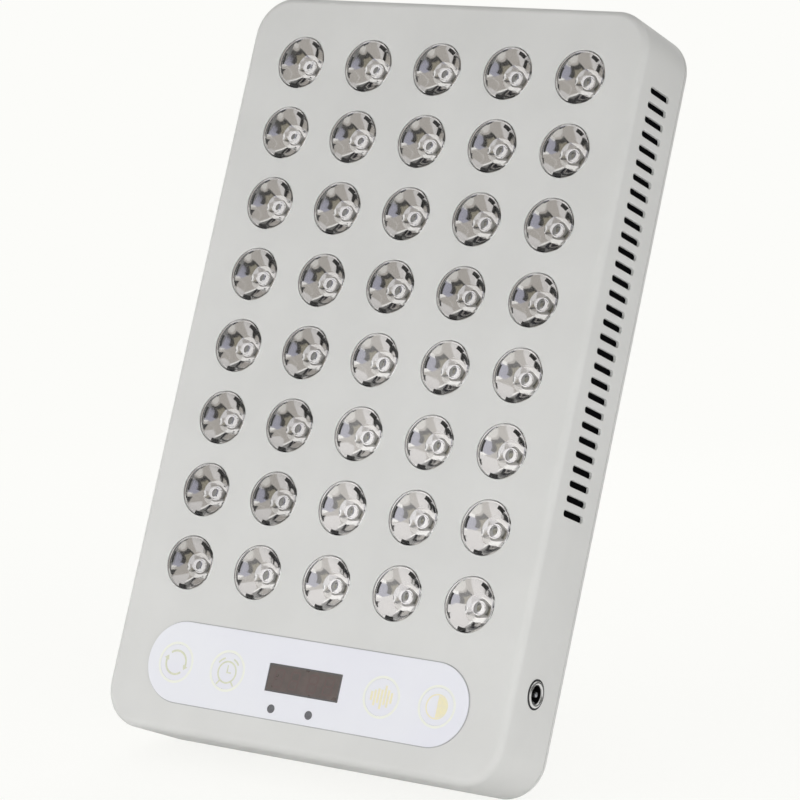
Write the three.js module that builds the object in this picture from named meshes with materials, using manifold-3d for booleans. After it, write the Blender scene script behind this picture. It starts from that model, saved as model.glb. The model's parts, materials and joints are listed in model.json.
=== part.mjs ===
// A tabletop light therapy panel: forty lensed lamps in a white sheet-metal case that leans back on a
// folding rear stand. Lengths are in millimetres. Inside the panel group x points right, y points back
// from the front face and z points up along the panel.

import * as THREE from 'three';
import { mergeVertices } from 'three/addons/utils/BufferGeometryUtils.js';
import Module from 'manifold-3d';

const wasm = await Module();
wasm.setup();

// Case
const caseWidth = 180;
const caseHeight = 297;
const caseDepth = 35;
const sheet = 1.2;
const cornerRadius = 16;
const bendRadius = 3;
const flangeWidth = 7;
const flangeCornerRadius = 9;
const coverLip = 2.2;
const coverEdgeRadius = 1.2;
const leanDegrees = 22.4;

// Gaps: between pieces that touch, around pieces that move, and how far cuts and joins reach past a face
const seatGap = 0.3;
const runningGap = 0.2;
const overrun = 2;
const fuse = 0.4;

// Lamps
const lampColumns = 5;
const lampRows = 8;
const columnInset = 26;
const columnPitch = (caseWidth - 2 * columnInset) / (lampColumns - 1);
const firstRowDrop = 27;
const lastRowHeight = 66.3;
const rowPitch = (caseHeight - firstRowDrop - lastRowHeight) / (lampRows - 1);
const lensDiameter = 20.7;
const lensHeight = 10.2;
const lensRim = 1.3;
const lensBaseDiameter = 11.4;
const pocketDiameter = 8.6;
const pocketDepth = 4.6;
const emitterDiameter = 4.6;
const emitterTipDiameter = 2.8;
const emitterHeight = 1.8;

// Side vents
const ventCount = 30;
const ventPitch = 5.63;
const ventLength = 15.2;
const ventWidth = 2.5;
const ventSetback = 9.4;
const firstVentDrop = 27.6;

// Control strip
const stripInset = 17.1;
const stripLength = caseWidth - 2 * stripInset;
const stripHeight = 31.6;
const stripThickness = 0.5;
const stripCentreHeight = 27.6;
const stripFilmGap = 0.2;
const keyDiameter = 14;
const keyThickness = 1.6;
const keyTravel = 0.4;
const keyDrop = 0.5;
const outerKeyInset = 13.2;
const innerKeyShare = 0.43256;
const stemDiameter = 5;
const displayWidth = 33.4;
const displayHeight = 10.8;
const displayBodyMargin = 1.8;
const lampHoleDiameter = 3.4;
const indicatorInset = 4;
const leftLampOffset = 12;
const rightLampOffset = 5.2;

// Boards, heatsink and fan
const boardThickness = 1.6;
const controlBoardEndInset = 3.4;
const controlBoardSideInset = 1.3;
const controlBoardDepth = 7.5;
const switchSize = 6;
const switchHeight = 3.2;
const postDiameter = 4;
const postInset = 3;
const lampBoardMargin = 14;
const heatsinkBase = 2;
const heatsinkInset = 3;
const finCount = 13;
const finThickness = 1.4;
const fanSize = 60;
const fanDepth = 10;
const fanDrop = 82;
const fanCornerRadius = 4;
const fanBoreDiameter = 56;
const fanHubDiameter = 23;
const strutDepth = 1.5;
const strutWidth = 4;
const strutCount = 4;
const bladeCount = 7;
const bladeThickness = 1.2;
const bladeTipGap = 1.6;
const bladePitchDegrees = 38;
const spindleDiameter = 3;
const spindleLength = 5;
const grilleCount = 9;
const grillePitch = 5.8;
const grilleSlotWidth = 2.8;
const grilleMargin = 2;
const driverInset = 31;
const driverHeight = 40;
const driverCentreHeight = 28;
const driverSetback = 24;
const transformerWidth = 24;
const transformerHeight = 20;
const transformerDepth = 9;
const capacitorDiameter = 10;
const capacitorDepth = 8;
const capacitorOffset = 30;

// Low-voltage socket
const jackHeight = 38.8;
const jackSetback = 16;
const jackFlangeDiameter = 11.6;
const jackFlangeThickness = 0.7;
const jackBarrelDiameter = 8.4;
const jackBodyDiameter = 7.6;
const jackThreadLength = 6;
const jackLength = 13;
const jackBoreDiameter = 6.8;
const jackBoreDepth = 9;
const jackPinDiameter = 2.1;
const jackPinSetback = 1.2;
const nutAcrossCorners = 13;
const nutThickness = 2;

// Folding stand
const hingeBelowFan = 25;
const footDistance = 100;
const legWidth = 54;
const legSheet = 2;
const knuckleWidth = 24;
const knuckleDiameter = 8.8;
const knuckleClearance = 0.4;
const heelHeight = 7;
const shoulderDrop = 8;
const shoulderLength = 12;
const bracketSheet = 1.5;
const bracketWing = 8;
const bracketHeight = 24;
const earRadius = 5;
const pinDiameter = 4;
const pinHeadDiameter = 6.4;
const pinHeadThickness = 1;
const shoeHeight = 12;
const shoeThickness = 8;
const shoeWall = 2;
const shoeFloor = 4;

// Facets on each kind of round shape
const lampSides = 18;
const emitterSides = 6;
const keySides = 20;
const smallSides = 12;
const roundSides = 20;
const boreSides = 28;
const nutSides = 6;
const cornerSteps = 6;
const bendSteps = 4;
const coverEdgeSteps = 3;
const slotEndSteps = 3;
const stripEndSteps = 12;

// Places that follow from the sizes above
const lean = THREE.MathUtils.degToRad(leanDegrees);
const outerKeyOffset = stripLength / 2 - outerKeyInset;
const innerKeyOffset = displayWidth / 2 + (outerKeyOffset - displayWidth / 2) * innerKeyShare;
const stripBack = -stripFilmGap;
const stripFront = stripBack - stripThickness;
const keyHeight = stripCentreHeight - keyDrop;
const controlBoardWidth = stripLength - 2 * controlBoardEndInset;
const controlBoardHeight = stripHeight - 2 * controlBoardSideInset;
const driverWidth = caseWidth - 2 * driverInset;
const fanCentreHeight = caseHeight - fanDrop;
const hingeHeight = fanCentreHeight - fanSize / 2 - hingeBelowFan;
const lampBoardFront = lensHeight + seatGap;
const lampBoardBack = lampBoardFront + boardThickness;
const lampBoardWidth = (lampColumns - 1) * columnPitch + 2 * lampBoardMargin;
const lampBoardHeight = (lampRows - 1) * rowPitch + 2 * lampBoardMargin;
const lampBoardCentre = lastRowHeight + (lampRows - 1) * rowPitch / 2;
const coverFront = caseDepth - sheet;
const wallBack = caseDepth - coverLip - seatGap;
const fanBack = coverFront - seatGap;
const fanFront = fanBack - fanDepth;
const heatsinkFront = lampBoardBack + seatGap;
const finTips = fanFront - seatGap;
const pinSetback = seatGap + bracketSheet + knuckleClearance + knuckleDiameter / 2;
const hingeDepth = caseDepth + pinSetback;

// The panel stands on the rounded rear edge of its cover. The stand's opening follows from where its
// hinge and its foot are when the panel leans
const edgeHeights = coverEdgeRings(0).map((ring) => ring.inset * Math.cos(lean) - ring.y * Math.sin(lean));
const tableHeight = Math.min(...edgeHeights);
const hingeBehindEdge = pinSetback * Math.cos(lean) + hingeHeight * Math.sin(lean);
const hingeAboveTable = hingeHeight * Math.cos(lean) - hingeDepth * Math.sin(lean) - tableHeight;
const splay = Math.atan2(footDistance - hingeBehindEdge, hingeAboveTable);
const legReach = hingeAboveTable / Math.cos(splay);
const openAngle = splay + lean;

const finishes = {
  powderCoat: { color: 0xd2d4d2, roughness: 0.5, metalness: 0 },
  clearPlastic: { color: 0xe4e4e6, roughness: 0.08, metalness: 0, transparent: true, opacity: 0.55 },
  glossWhite: { color: 0xe9e7ef, roughness: 0.15, metalness: 0 },
  smoked: { color: 0x6b625f, roughness: 0.2, metalness: 0 },
  board: { color: 0xf0f0ec, roughness: 0.5, metalness: 0 },
  greenBoard: { color: 0x2c5a38, roughness: 0.5, metalness: 0 },
  aluminium: { color: 0xc2c5c8, roughness: 0.35, metalness: 1 },
  blackPlastic: { color: 0x1c1c1e, roughness: 0.5, metalness: 0 },
  chrome: { color: 0xd8d8da, roughness: 0.12, metalness: 1 },
  steel: { color: 0xb4b6b8, roughness: 0.3, metalness: 1 },
  rubber: { color: 0x242426, roughness: 0.85, metalness: 0 },
};

// Solids and meshes

function solidOf(geometry) {
  geometry.deleteAttribute('normal');
  geometry.deleteAttribute('uv');
  const merged = mergeVertices(geometry);
  const vertProperties = new Float32Array(merged.attributes.position.array);
  const triVerts = new Uint32Array(merged.index.array);
  return new wasm.Manifold(new wasm.Mesh({ numProp: 3, vertProperties, triVerts }));
}

function geometryOf(solid) {
  const { vertProperties, triVerts } = solid.getMesh();
  const geometry = new THREE.BufferGeometry();
  geometry.setAttribute('position', new THREE.BufferAttribute(vertProperties, 3));
  geometry.setIndex(new THREE.BufferAttribute(triVerts, 1));
  return geometry;
}

function cut(body, tools) {
  return tools.reduce((rest, tool) => rest.subtract(tool), body);
}

function join(body, additions) {
  return additions.reduce((whole, addition) => whole.add(addition), body);
}

function piece(name, shape, finish) {
  const geometry = shape.isBufferGeometry ? shape : geometryOf(shape);
  const mesh = new THREE.Mesh(geometry, new THREE.MeshStandardMaterial(finish));
  mesh.name = name;
  return mesh;
}

// Outlines, each as a list of points that runs anticlockwise

function arcPoints(centreX, centreY, radius, start, end, steps) {
  const points = [];
  for (let step = 0; step <= steps; step += 1) {
    const angle = start + (end - start) * step / steps;
    points.push(new THREE.Vector2(centreX + radius * Math.cos(angle), centreY + radius * Math.sin(angle)));
  }
  return points;
}

function roundedPoints(width, height, radius) {
  const acrossX = width / 2 - radius;
  const acrossY = height / 2 - radius;
  const signs = [[1, 1], [-1, 1], [-1, -1], [1, -1]];
  return signs.flatMap(([signX, signY], corner) => {
    const start = corner * Math.PI / 2;
    return arcPoints(signX * acrossX, signY * acrossY, radius, start, start + Math.PI / 2, cornerSteps);
  });
}

function stadiumPoints(length, width, steps) {
  const reach = (length - width) / 2;
  const right = arcPoints(reach, 0, width / 2, -Math.PI / 2, Math.PI / 2, steps);
  const left = arcPoints(-reach, 0, width / 2, Math.PI / 2, 3 * Math.PI / 2, steps);
  return [...right, ...left];
}

function circlePoints(radius, sides) {
  return arcPoints(0, 0, radius, 0, 2 * Math.PI * (sides - 1) / sides, sides - 1);
}

function shifted(points, x, y) {
  return points.map((point) => new THREE.Vector2(point.x + x, point.y + y));
}

// Plain solids. A plate's outline lies in x and z, and its thickness runs along y

function plateGeometry(points, front, back, holes = []) {
  const shape = new THREE.Shape(points);
  shape.holes = holes.map((hole) => new THREE.Path(hole));
  const geometry = new THREE.ExtrudeGeometry(shape, { depth: back - front, bevelEnabled: false });
  geometry.rotateX(Math.PI / 2);
  return geometry.translate(0, back, 0);
}

function plate(points, front, back, holes = []) {
  return solidOf(plateGeometry(points, front, back, holes));
}

// A slab's outline lies in y and z, and its thickness runs along x
function slab(points, left, right) {
  const shape = new THREE.Shape(points);
  const geometry = new THREE.ExtrudeGeometry(shape, { depth: right - left, bevelEnabled: false });
  const turn = new THREE.Matrix4().makeBasis(
    new THREE.Vector3(0, 1, 0),
    new THREE.Vector3(0, 0, 1),
    new THREE.Vector3(1, 0, 0),
  );
  geometry.applyMatrix4(turn);
  return solidOf(geometry.translate(left, 0, 0));
}

function block(width, height, front, back, x, z) {
  const geometry = new THREE.BoxGeometry(width, back - front, height);
  return solidOf(geometry.translate(x, (front + back) / 2, z));
}

function rod(diameter, front, back, x, z, sides) {
  const geometry = new THREE.CylinderGeometry(diameter / 2, diameter / 2, back - front, sides);
  return solidOf(geometry.translate(x, (front + back) / 2, z));
}

function crossRod(diameter, left, right, y, z, sides) {
  const geometry = new THREE.CylinderGeometry(diameter / 2, diameter / 2, right - left, sides);
  geometry.rotateZ(Math.PI / 2);
  return solidOf(geometry.translate((left + right) / 2, y, z));
}

// A turned shape: its profile gives diameters and distances along y, and starts and ends on the axis
function turned(profile, sides) {
  const points = profile.map(([diameter, y]) => new THREE.Vector2(diameter / 2, y));
  return new THREE.LatheGeometry(points, sides);
}

// Rings of the case's outline, each set in from the walls, from front to back
function frontBendRings(inset, front, bend) {
  return Array.from({ length: bendSteps + 1 }, (unused, step) => {
    const angle = Math.PI / 2 * step / bendSteps;
    return { inset: inset + bend * (1 - Math.sin(angle)), y: front + bend * (1 - Math.cos(angle)) };
  });
}

function coverEdgeRings(inset) {
  return Array.from({ length: coverEdgeSteps + 1 }, (unused, step) => {
    const angle = Math.PI / 2 * step / coverEdgeSteps;
    return {
      inset: inset + coverEdgeRadius * (1 - Math.cos(angle)),
      y: caseDepth - coverEdgeRadius * (1 - Math.sin(angle)),
    };
  });
}

// Solid with the case's rounded corners, skinned over such rings
function caseSolid(rings) {
  const outlines = rings.map((ring) => casePoints(ring.inset));
  const sides = outlines[0].length;
  const positions = outlines.flatMap((points, ring) => {
    return points.flatMap((point) => [point.x, rings[ring].y, point.y]);
  });
  const index = [];
  for (let side = 0; side < sides; side += 1) {
    const next = (side + 1) % sides;
    for (let ring = 0; ring + 1 < rings.length; ring += 1) {
      const near = ring * sides;
      const far = near + sides;
      index.push(near + side, far + side, near + next);
      index.push(near + next, far + side, far + next);
    }
  }
  const last = (rings.length - 1) * sides;
  for (let side = 1; side + 1 < sides; side += 1) {
    index.push(0, side, side + 1);
    index.push(last, last + side + 1, last + side);
  }
  const geometry = new THREE.BufferGeometry();
  geometry.setAttribute('position', new THREE.Float32BufferAttribute(positions, 3));
  geometry.setIndex(index);
  return solidOf(geometry);
}

function casePoints(inset, radius = cornerRadius - inset) {
  const points = roundedPoints(caseWidth - 2 * inset, caseHeight - 2 * inset, radius);
  return shifted(points, 0, caseHeight / 2);
}

// Places of what repeats

function lampPlaces() {
  const places = [];
  for (let row = 0; row < lampRows; row += 1) {
    for (let column = 0; column < lampColumns; column += 1) {
      const x = (column - (lampColumns - 1) / 2) * columnPitch;
      const z = caseHeight - firstRowDrop - row * rowPitch;
      places.push({ name: `lens_r${row + 1}_c${column + 1}`, x, z });
    }
  }
  return places;
}

const keys = [
  { name: 'key_mode', x: -outerKeyOffset },
  { name: 'key_timer', x: -innerKeyOffset },
  { name: 'key_pulse', x: innerKeyOffset },
  { name: 'key_brightness', x: outerKeyOffset },
];
const indicatorOffsets = [-leftLampOffset, rightLampOffset];
const indicatorHeight = stripCentreHeight - stripHeight / 2 + indicatorInset;

// Front housing: folded sheet with lens holes, control openings, side vents and the socket's hole
function frontHousing() {
  const outer = caseSolid([...frontBendRings(0, 0, bendRadius), { inset: 0, y: wallBack }]);
  const innerBend = frontBendRings(sheet, sheet, bendRadius - sheet);
  const inner = caseSolid([...innerBend, { inset: sheet, y: wallBack + overrun }]);
  const flangeHole = casePoints(flangeWidth, flangeCornerRadius);
  const flange = plate(casePoints(sheet / 2), wallBack - sheet, wallBack, [flangeHole]);
  const back = sheet + overrun;
  const lensHole = lensDiameter + 2 * seatGap;
  const lensHoles = lampPlaces().map(({ x, z }) => rod(lensHole, -overrun, back, x, z, lampSides));
  const keyHole = keyDiameter + 2 * seatGap;
  const keyHoles = keys.map(({ x }) => rod(keyHole, -overrun, back, x, keyHeight, keySides));
  const lampHoles = indicatorOffsets.map((x) => {
    return rod(lampHoleDiameter, -overrun, back, x, indicatorHeight, smallSides);
  });
  const windowWidth = displayWidth + 2 * seatGap;
  const windowHeight = displayHeight + 2 * seatGap;
  const window = block(windowWidth, windowHeight, -overrun, back, 0, stripCentreHeight);
  const socketHole = crossRod(
    jackBarrelDiameter + 2 * seatGap,
    caseWidth / 2 - sheet - overrun,
    caseWidth / 2 + overrun,
    jackSetback,
    jackHeight,
    roundSides,
  );
  const shell = join(cut(outer, [inner]), [flange]);
  return cut(shell, [...lensHoles, ...keyHoles, ...lampHoles, window, socketHole, ...ventCutters()]);
}

function ventCutters() {
  const reach = caseWidth / 2 + overrun;
  const points = stadiumPoints(ventLength, ventWidth, slotEndSteps);
  return Array.from({ length: ventCount }, (unused, vent) => {
    const height = caseHeight - firstVentDrop - vent * ventPitch;
    return slab(shifted(points, ventSetback + ventLength / 2, height), -reach, reach);
  });
}

// Rear cover: a shallow tray that closes the walls, slotted in a circle behind the fan
function rearCover() {
  const lipFront = caseDepth - coverLip;
  const outer = caseSolid([{ inset: 0, y: lipFront }, ...coverEdgeRings(0)]);
  const inner = plate(casePoints(sheet), lipFront - overrun, coverFront);
  const slots = [];
  for (let slot = 0; slot < grilleCount; slot += 1) {
    const x = (slot - (grilleCount - 1) / 2) * grillePitch;
    const radius = fanBoreDiameter / 2 - grilleMargin;
    const length = 2 * Math.sqrt(radius * radius - x * x);
    const upright = stadiumPoints(length, grilleSlotWidth, slotEndSteps).map((point) => {
      return new THREE.Vector2(-point.y, point.x);
    });
    slots.push(plate(shifted(upright, x, fanCentreHeight), coverFront - overrun, caseDepth + overrun));
  }
  return cut(outer, [inner, ...slots]);
}

// Collimator lens: flat rim in front, cone behind, and a pocket over the emitter
function lensGeometry() {
  return turned([
    [0, 0],
    [lensDiameter, 0],
    [lensDiameter, lensRim],
    [lensBaseDiameter, lensHeight],
    [pocketDiameter, lensHeight],
    [0, lensHeight - pocketDepth],
  ], lampSides);
}

// Control strip: film with openings for the keys, the display and the indicator lamps
function controlOverlay() {
  const keyHole = circlePoints(keyDiameter / 2 + runningGap, keySides);
  const lampHole = circlePoints(lampHoleDiameter / 2, smallSides);
  const acrossX = displayWidth / 2 + runningGap;
  const acrossZ = displayHeight / 2 + runningGap;
  const window = [
    new THREE.Vector2(acrossX, acrossZ),
    new THREE.Vector2(-acrossX, acrossZ),
    new THREE.Vector2(-acrossX, -acrossZ),
    new THREE.Vector2(acrossX, -acrossZ),
  ];
  const holes = [
    ...keys.map(({ x }) => shifted(keyHole, x, keyHeight)),
    ...indicatorOffsets.map((x) => shifted(lampHole, x, indicatorHeight)),
    shifted(window, 0, stripCentreHeight),
  ];
  const outline = shifted(stadiumPoints(stripLength, stripHeight, stripEndSteps), 0, stripCentreHeight);
  return plate(outline, stripFront, stripBack, holes);
}

// Key: a thin round cap level with the strip, on a stem that ends just short of its switch
function keyGeometry() {
  const capBack = stripFront + keyThickness;
  const stemEnd = controlBoardDepth - switchHeight - keyTravel - runningGap;
  return turned([
    [0, stripFront],
    [keyDiameter, stripFront],
    [keyDiameter, capBack],
    [stemDiameter, capBack],
    [stemDiameter, stemEnd],
    [0, stemEnd],
  ], keySides);
}

// Display: a window that fills its opening, with its body behind the front sheet
function displayModule() {
  const face = block(displayWidth, displayHeight, stripFront, sheet + seatGap + fuse, 0, stripCentreHeight);
  const body = block(
    displayWidth + 2 * displayBodyMargin,
    displayHeight + 2 * displayBodyMargin,
    sheet + seatGap,
    controlBoardDepth - seatGap,
    0,
    stripCentreHeight,
  );
  return face.add(body);
}

function cornerPlaces(width, height, inset, centre) {
  const x = width / 2 - inset;
  const z = height / 2 - inset;
  return [[-x, centre - z], [x, centre - z], [-x, centre + z], [x, centre + z]];
}

// Control board: four switches, two indicator lamps and four posts that meet the front sheet
function controlBoard() {
  const back = controlBoardDepth + boardThickness;
  const board = block(controlBoardWidth, controlBoardHeight, controlBoardDepth, back, 0, stripCentreHeight);
  const inside = controlBoardDepth + fuse;
  const switches = keys.map(({ x }) => {
    return block(switchSize, switchSize, controlBoardDepth - switchHeight, inside, x, keyHeight);
  });
  const lampDiameter = lampHoleDiameter - 2 * runningGap;
  const lamps = indicatorOffsets.map((x) => {
    return rod(lampDiameter, stripFront, inside, x, indicatorHeight, smallSides);
  });
  const places = cornerPlaces(controlBoardWidth, controlBoardHeight, postInset, stripCentreHeight);
  const posts = places.map(([x, z]) => rod(postDiameter, sheet + seatGap, inside, x, z, smallSides));
  return join(board, [...switches, ...lamps, ...posts]);
}

// Lamp board: one emitter under each lens
function lampBoard() {
  const board = block(lampBoardWidth, lampBoardHeight, lampBoardFront, lampBoardBack, 0, lampBoardCentre);
  const length = emitterHeight + fuse;
  const emitters = lampPlaces().map(({ x, z }) => {
    const base = emitterDiameter / 2;
    const geometry = new THREE.CylinderGeometry(base, emitterTipDiameter / 2, length, emitterSides);
    return solidOf(geometry.translate(x, lampBoardFront + fuse - length / 2, z));
  });
  return join(board, emitters);
}

// Heatsink: a base plate with upright fins, drawn as one comb and extruded along the panel
function heatsink() {
  const width = lampBoardWidth - 2 * heatsinkInset;
  const height = lampBoardHeight - 2 * heatsinkInset;
  const finPitch = (width - finThickness) / (finCount - 1);
  const baseBack = heatsinkFront + heatsinkBase;
  const comb = [new THREE.Vector2(-width / 2, heatsinkFront), new THREE.Vector2(width / 2, heatsinkFront)];
  for (let fin = finCount - 1; fin >= 0; fin -= 1) {
    const left = -width / 2 + fin * finPitch;
    const right = left + finThickness;
    comb.push(new THREE.Vector2(right, finTips));
    comb.push(new THREE.Vector2(left, finTips));
    if (fin > 0) {
      comb.push(new THREE.Vector2(left, baseBack));
      comb.push(new THREE.Vector2(right - finPitch, baseBack));
    }
  }
  const geometry = new THREE.ExtrudeGeometry(new THREE.Shape(comb), { depth: height, bevelEnabled: false });
  return solidOf(geometry.translate(0, 0, lampBoardCentre - height / 2));
}

// Fan frame: a square duct with four struts that carry the rotor's spindle
function fanFrame() {
  const outline = shifted(roundedPoints(fanSize, fanSize, fanCornerRadius), 0, fanCentreHeight);
  const bore = shifted(circlePoints(fanBoreDiameter / 2, boreSides), 0, fanCentreHeight);
  const duct = plate(outline, fanFront, fanBack, [bore]);
  const strutFront = fanBack - strutDepth;
  const hub = rod(fanHubDiameter, strutFront, fanBack, 0, fanCentreHeight, roundSides);
  const length = (fanBoreDiameter - fanHubDiameter) / 2 + 2 * fuse;
  const struts = Array.from({ length: strutCount }, (unused, strut) => {
    const geometry = new THREE.BoxGeometry(length, strutDepth, strutWidth);
    geometry.translate((fanBoreDiameter + fanHubDiameter) / 4, 0, 0);
    geometry.rotateY((strut + 1 / 2) * 2 * Math.PI / strutCount);
    return solidOf(geometry.translate(0, strutFront + strutDepth / 2, fanCentreHeight));
  });
  const spindle = rod(
    spindleDiameter,
    strutFront - spindleLength,
    strutFront + fuse,
    0,
    fanCentreHeight,
    smallSides,
  );
  return join(duct, [hub, ...struts, spindle]);
}

// Fan rotor, built around its own axis: a hub that turns on the spindle, with pitched blades
function fanRotor() {
  const depth = fanDepth - strutDepth - 2 * seatGap;
  const hub = rod(fanHubDiameter, -depth / 2, depth / 2, 0, 0, roundSides);
  const pitch = THREE.MathUtils.degToRad(bladePitchDegrees);
  const chord = (depth - bladeThickness * Math.cos(pitch)) / Math.sin(pitch);
  const span = (fanBoreDiameter - fanHubDiameter) / 2 - bladeTipGap;
  const blades = Array.from({ length: bladeCount }, (unused, blade) => {
    const geometry = new THREE.BoxGeometry(span + fuse, bladeThickness, chord);
    geometry.rotateX(pitch);
    geometry.translate((fanHubDiameter + span - fuse) / 2, 0, 0);
    geometry.rotateY(blade * 2 * Math.PI / bladeCount);
    return solidOf(geometry);
  });
  const boreFront = depth / 2 - spindleLength - seatGap;
  const bore = rod(spindleDiameter + 2 * runningGap, boreFront, depth / 2 + overrun, 0, 0, smallSides);
  return cut(join(hub, blades), [bore]);
}

// Driver board: components face forward and posts meet the rear cover
function driverBoard() {
  const back = driverSetback + boardThickness;
  const inside = driverSetback + fuse;
  const board = block(driverWidth, driverHeight, driverSetback, back, 0, driverCentreHeight);
  const transformer = block(
    transformerWidth,
    transformerHeight,
    driverSetback - transformerDepth,
    inside,
    0,
    driverCentreHeight,
  );
  const capacitors = [-capacitorOffset, capacitorOffset].map((x) => {
    return rod(capacitorDiameter, driverSetback - capacitorDepth, inside, x, driverCentreHeight, smallSides);
  });
  const places = cornerPlaces(driverWidth, driverHeight, postInset, driverCentreHeight);
  const posts = places.map(([x, z]) => {
    return rod(postDiameter, back - fuse, coverFront - seatGap, x, z, smallSides);
  });
  return join(board, [transformer, ...capacitors, ...posts]);
}

// Low-voltage socket, turned around its own axis: x runs out of the case from the wall's outer face
function jackGeometry() {
  const face = seatGap + jackFlangeThickness;
  const profile = turned([
    [0, -jackLength],
    [jackBodyDiameter, -jackLength],
    [jackBodyDiameter, -jackThreadLength],
    [jackBarrelDiameter, -jackThreadLength],
    [jackBarrelDiameter, seatGap],
    [jackFlangeDiameter, seatGap],
    [jackFlangeDiameter, face],
    [jackBoreDiameter, face],
    [jackBoreDiameter, face - jackBoreDepth],
    [jackPinDiameter, face - jackBoreDepth],
    [jackPinDiameter, face - jackPinSetback],
    [0, face - jackPinSetback],
  ], roundSides);
  return profile.rotateZ(-Math.PI / 2);
}

function jackNut() {
  const right = caseWidth / 2 - sheet - seatGap;
  const outline = shifted(circlePoints(nutAcrossCorners / 2, nutSides), jackSetback, jackHeight);
  const hole = crossRod(
    jackBarrelDiameter + 2 * seatGap,
    right - nutThickness - overrun,
    right + overrun,
    jackSetback,
    jackHeight,
    roundSides,
  );
  return cut(slab(outline, right - nutThickness, right), [hole]);
}

// Stand bracket, around the hinge axis: a base on the rear cover and two ears that hold the pin
function standBracket() {
  const earInner = knuckleWidth / 2 + seatGap;
  const earOuter = earInner + bracketSheet;
  const baseFront = seatGap - pinSetback;
  const baseBack = baseFront + bracketSheet;
  const base = block(2 * (earOuter + bracketWing), bracketHeight, baseFront, baseBack, 0, 0);
  const earPoints = [
    new THREE.Vector2(baseBack - fuse, -earRadius),
    ...arcPoints(0, 0, earRadius, -Math.PI / 2, Math.PI / 2, cornerSteps),
    new THREE.Vector2(baseBack - fuse, earRadius),
  ];
  const ears = [slab(earPoints, earInner, earOuter), slab(earPoints, -earOuter, -earInner)];
  const reach = earOuter + overrun;
  const pinHole = crossRod(pinDiameter + 2 * runningGap, -reach, reach, 0, 0, roundSides);
  return cut(join(base, ears), [pinHole]);
}

function pinGeometry() {
  const inner = knuckleWidth / 2 + seatGap + bracketSheet + seatGap;
  const outer = inner + pinHeadThickness;
  return turned([
    [0, -outer],
    [pinHeadDiameter, -outer],
    [pinHeadDiameter, -inner],
    [pinDiameter, -inner],
    [pinDiameter, inner],
    [pinHeadDiameter, inner],
    [pinHeadDiameter, outer],
    [0, outer],
  ], roundSides).rotateZ(-Math.PI / 2);
}

// Stand leg, around the hinge axis and hanging straight down: knuckle, heel that stops against the
// bracket when open, and the plate
function standLeg() {
  const across = knuckleWidth / 2;
  const half = legWidth / 2;
  const end = shoeFloor + seatGap - legReach;
  const platePoints = [
    new THREE.Vector2(-half, end),
    new THREE.Vector2(half, end),
    new THREE.Vector2(half, -shoulderDrop - shoulderLength),
    new THREE.Vector2(across, -shoulderDrop),
    new THREE.Vector2(across, 0),
    new THREE.Vector2(-across, 0),
    new THREE.Vector2(-across, -shoulderDrop),
    new THREE.Vector2(-half, -shoulderDrop - shoulderLength),
  ];
  const web = plate(platePoints, -legSheet / 2, legSheet / 2);
  const knuckle = crossRod(knuckleDiameter, -across, across, 0, 0, roundSides);
  const heelFace = knuckleDiameter / 2 + knuckleClearance - seatGap;
  const turnBack = new THREE.Vector2(0, 0);
  const heelPoints = [
    new THREE.Vector2(-heelFace, 0),
    new THREE.Vector2(0, 0),
    new THREE.Vector2(0, heelHeight),
    new THREE.Vector2(-heelFace, heelHeight),
  ].map((point) => point.rotateAround(turnBack, -openAngle));
  const heel = slab(heelPoints, -across, across);
  const bore = crossRod(pinDiameter + 2 * runningGap, -across - overrun, across + overrun, 0, 0, roundSides);
  return cut(join(web, [knuckle, heel]), [bore]);
}

// Rubber foot over the leg's end, cut level with the table
function standFoot() {
  const half = shoeThickness / 2;
  const top = shoeHeight - legReach;
  const tableAt = (y) => -(hingeAboveTable + y * Math.sin(splay)) / Math.cos(splay);
  const across = legWidth / 2 + seatGap;
  const points = [
    new THREE.Vector2(-half, tableAt(-half)),
    new THREE.Vector2(half, tableAt(half)),
    new THREE.Vector2(half, top),
    new THREE.Vector2(-half, top),
  ];
  const shoe = slab(points, -across - shoeWall, across + shoeWall);
  const slotBottom = shoeFloor - legReach;
  const slotHeight = top + overrun - slotBottom;
  const slotHalf = legSheet / 2 + seatGap;
  const slot = block(2 * across, slotHeight, -slotHalf, slotHalf, 0, slotBottom + slotHeight / 2);
  return shoe.subtract(slot);
}

function placed(mesh, x, y, z) {
  mesh.position.set(x, y, z);
  return mesh;
}

function standGroup() {
  const group = new THREE.Group();
  group.position.set(0, hingeDepth, hingeHeight);
  group.add(piece('stand_bracket', standBracket(), finishes.powderCoat));
  group.add(piece('stand_pin', pinGeometry(), finishes.steel));
  const leg = new THREE.Group();
  leg.rotation.x = openAngle;
  leg.add(piece('stand_leg', standLeg(), finishes.powderCoat));
  leg.add(piece('stand_foot', standFoot(), finishes.rubber));
  group.add(leg);
  return group;
}

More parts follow.
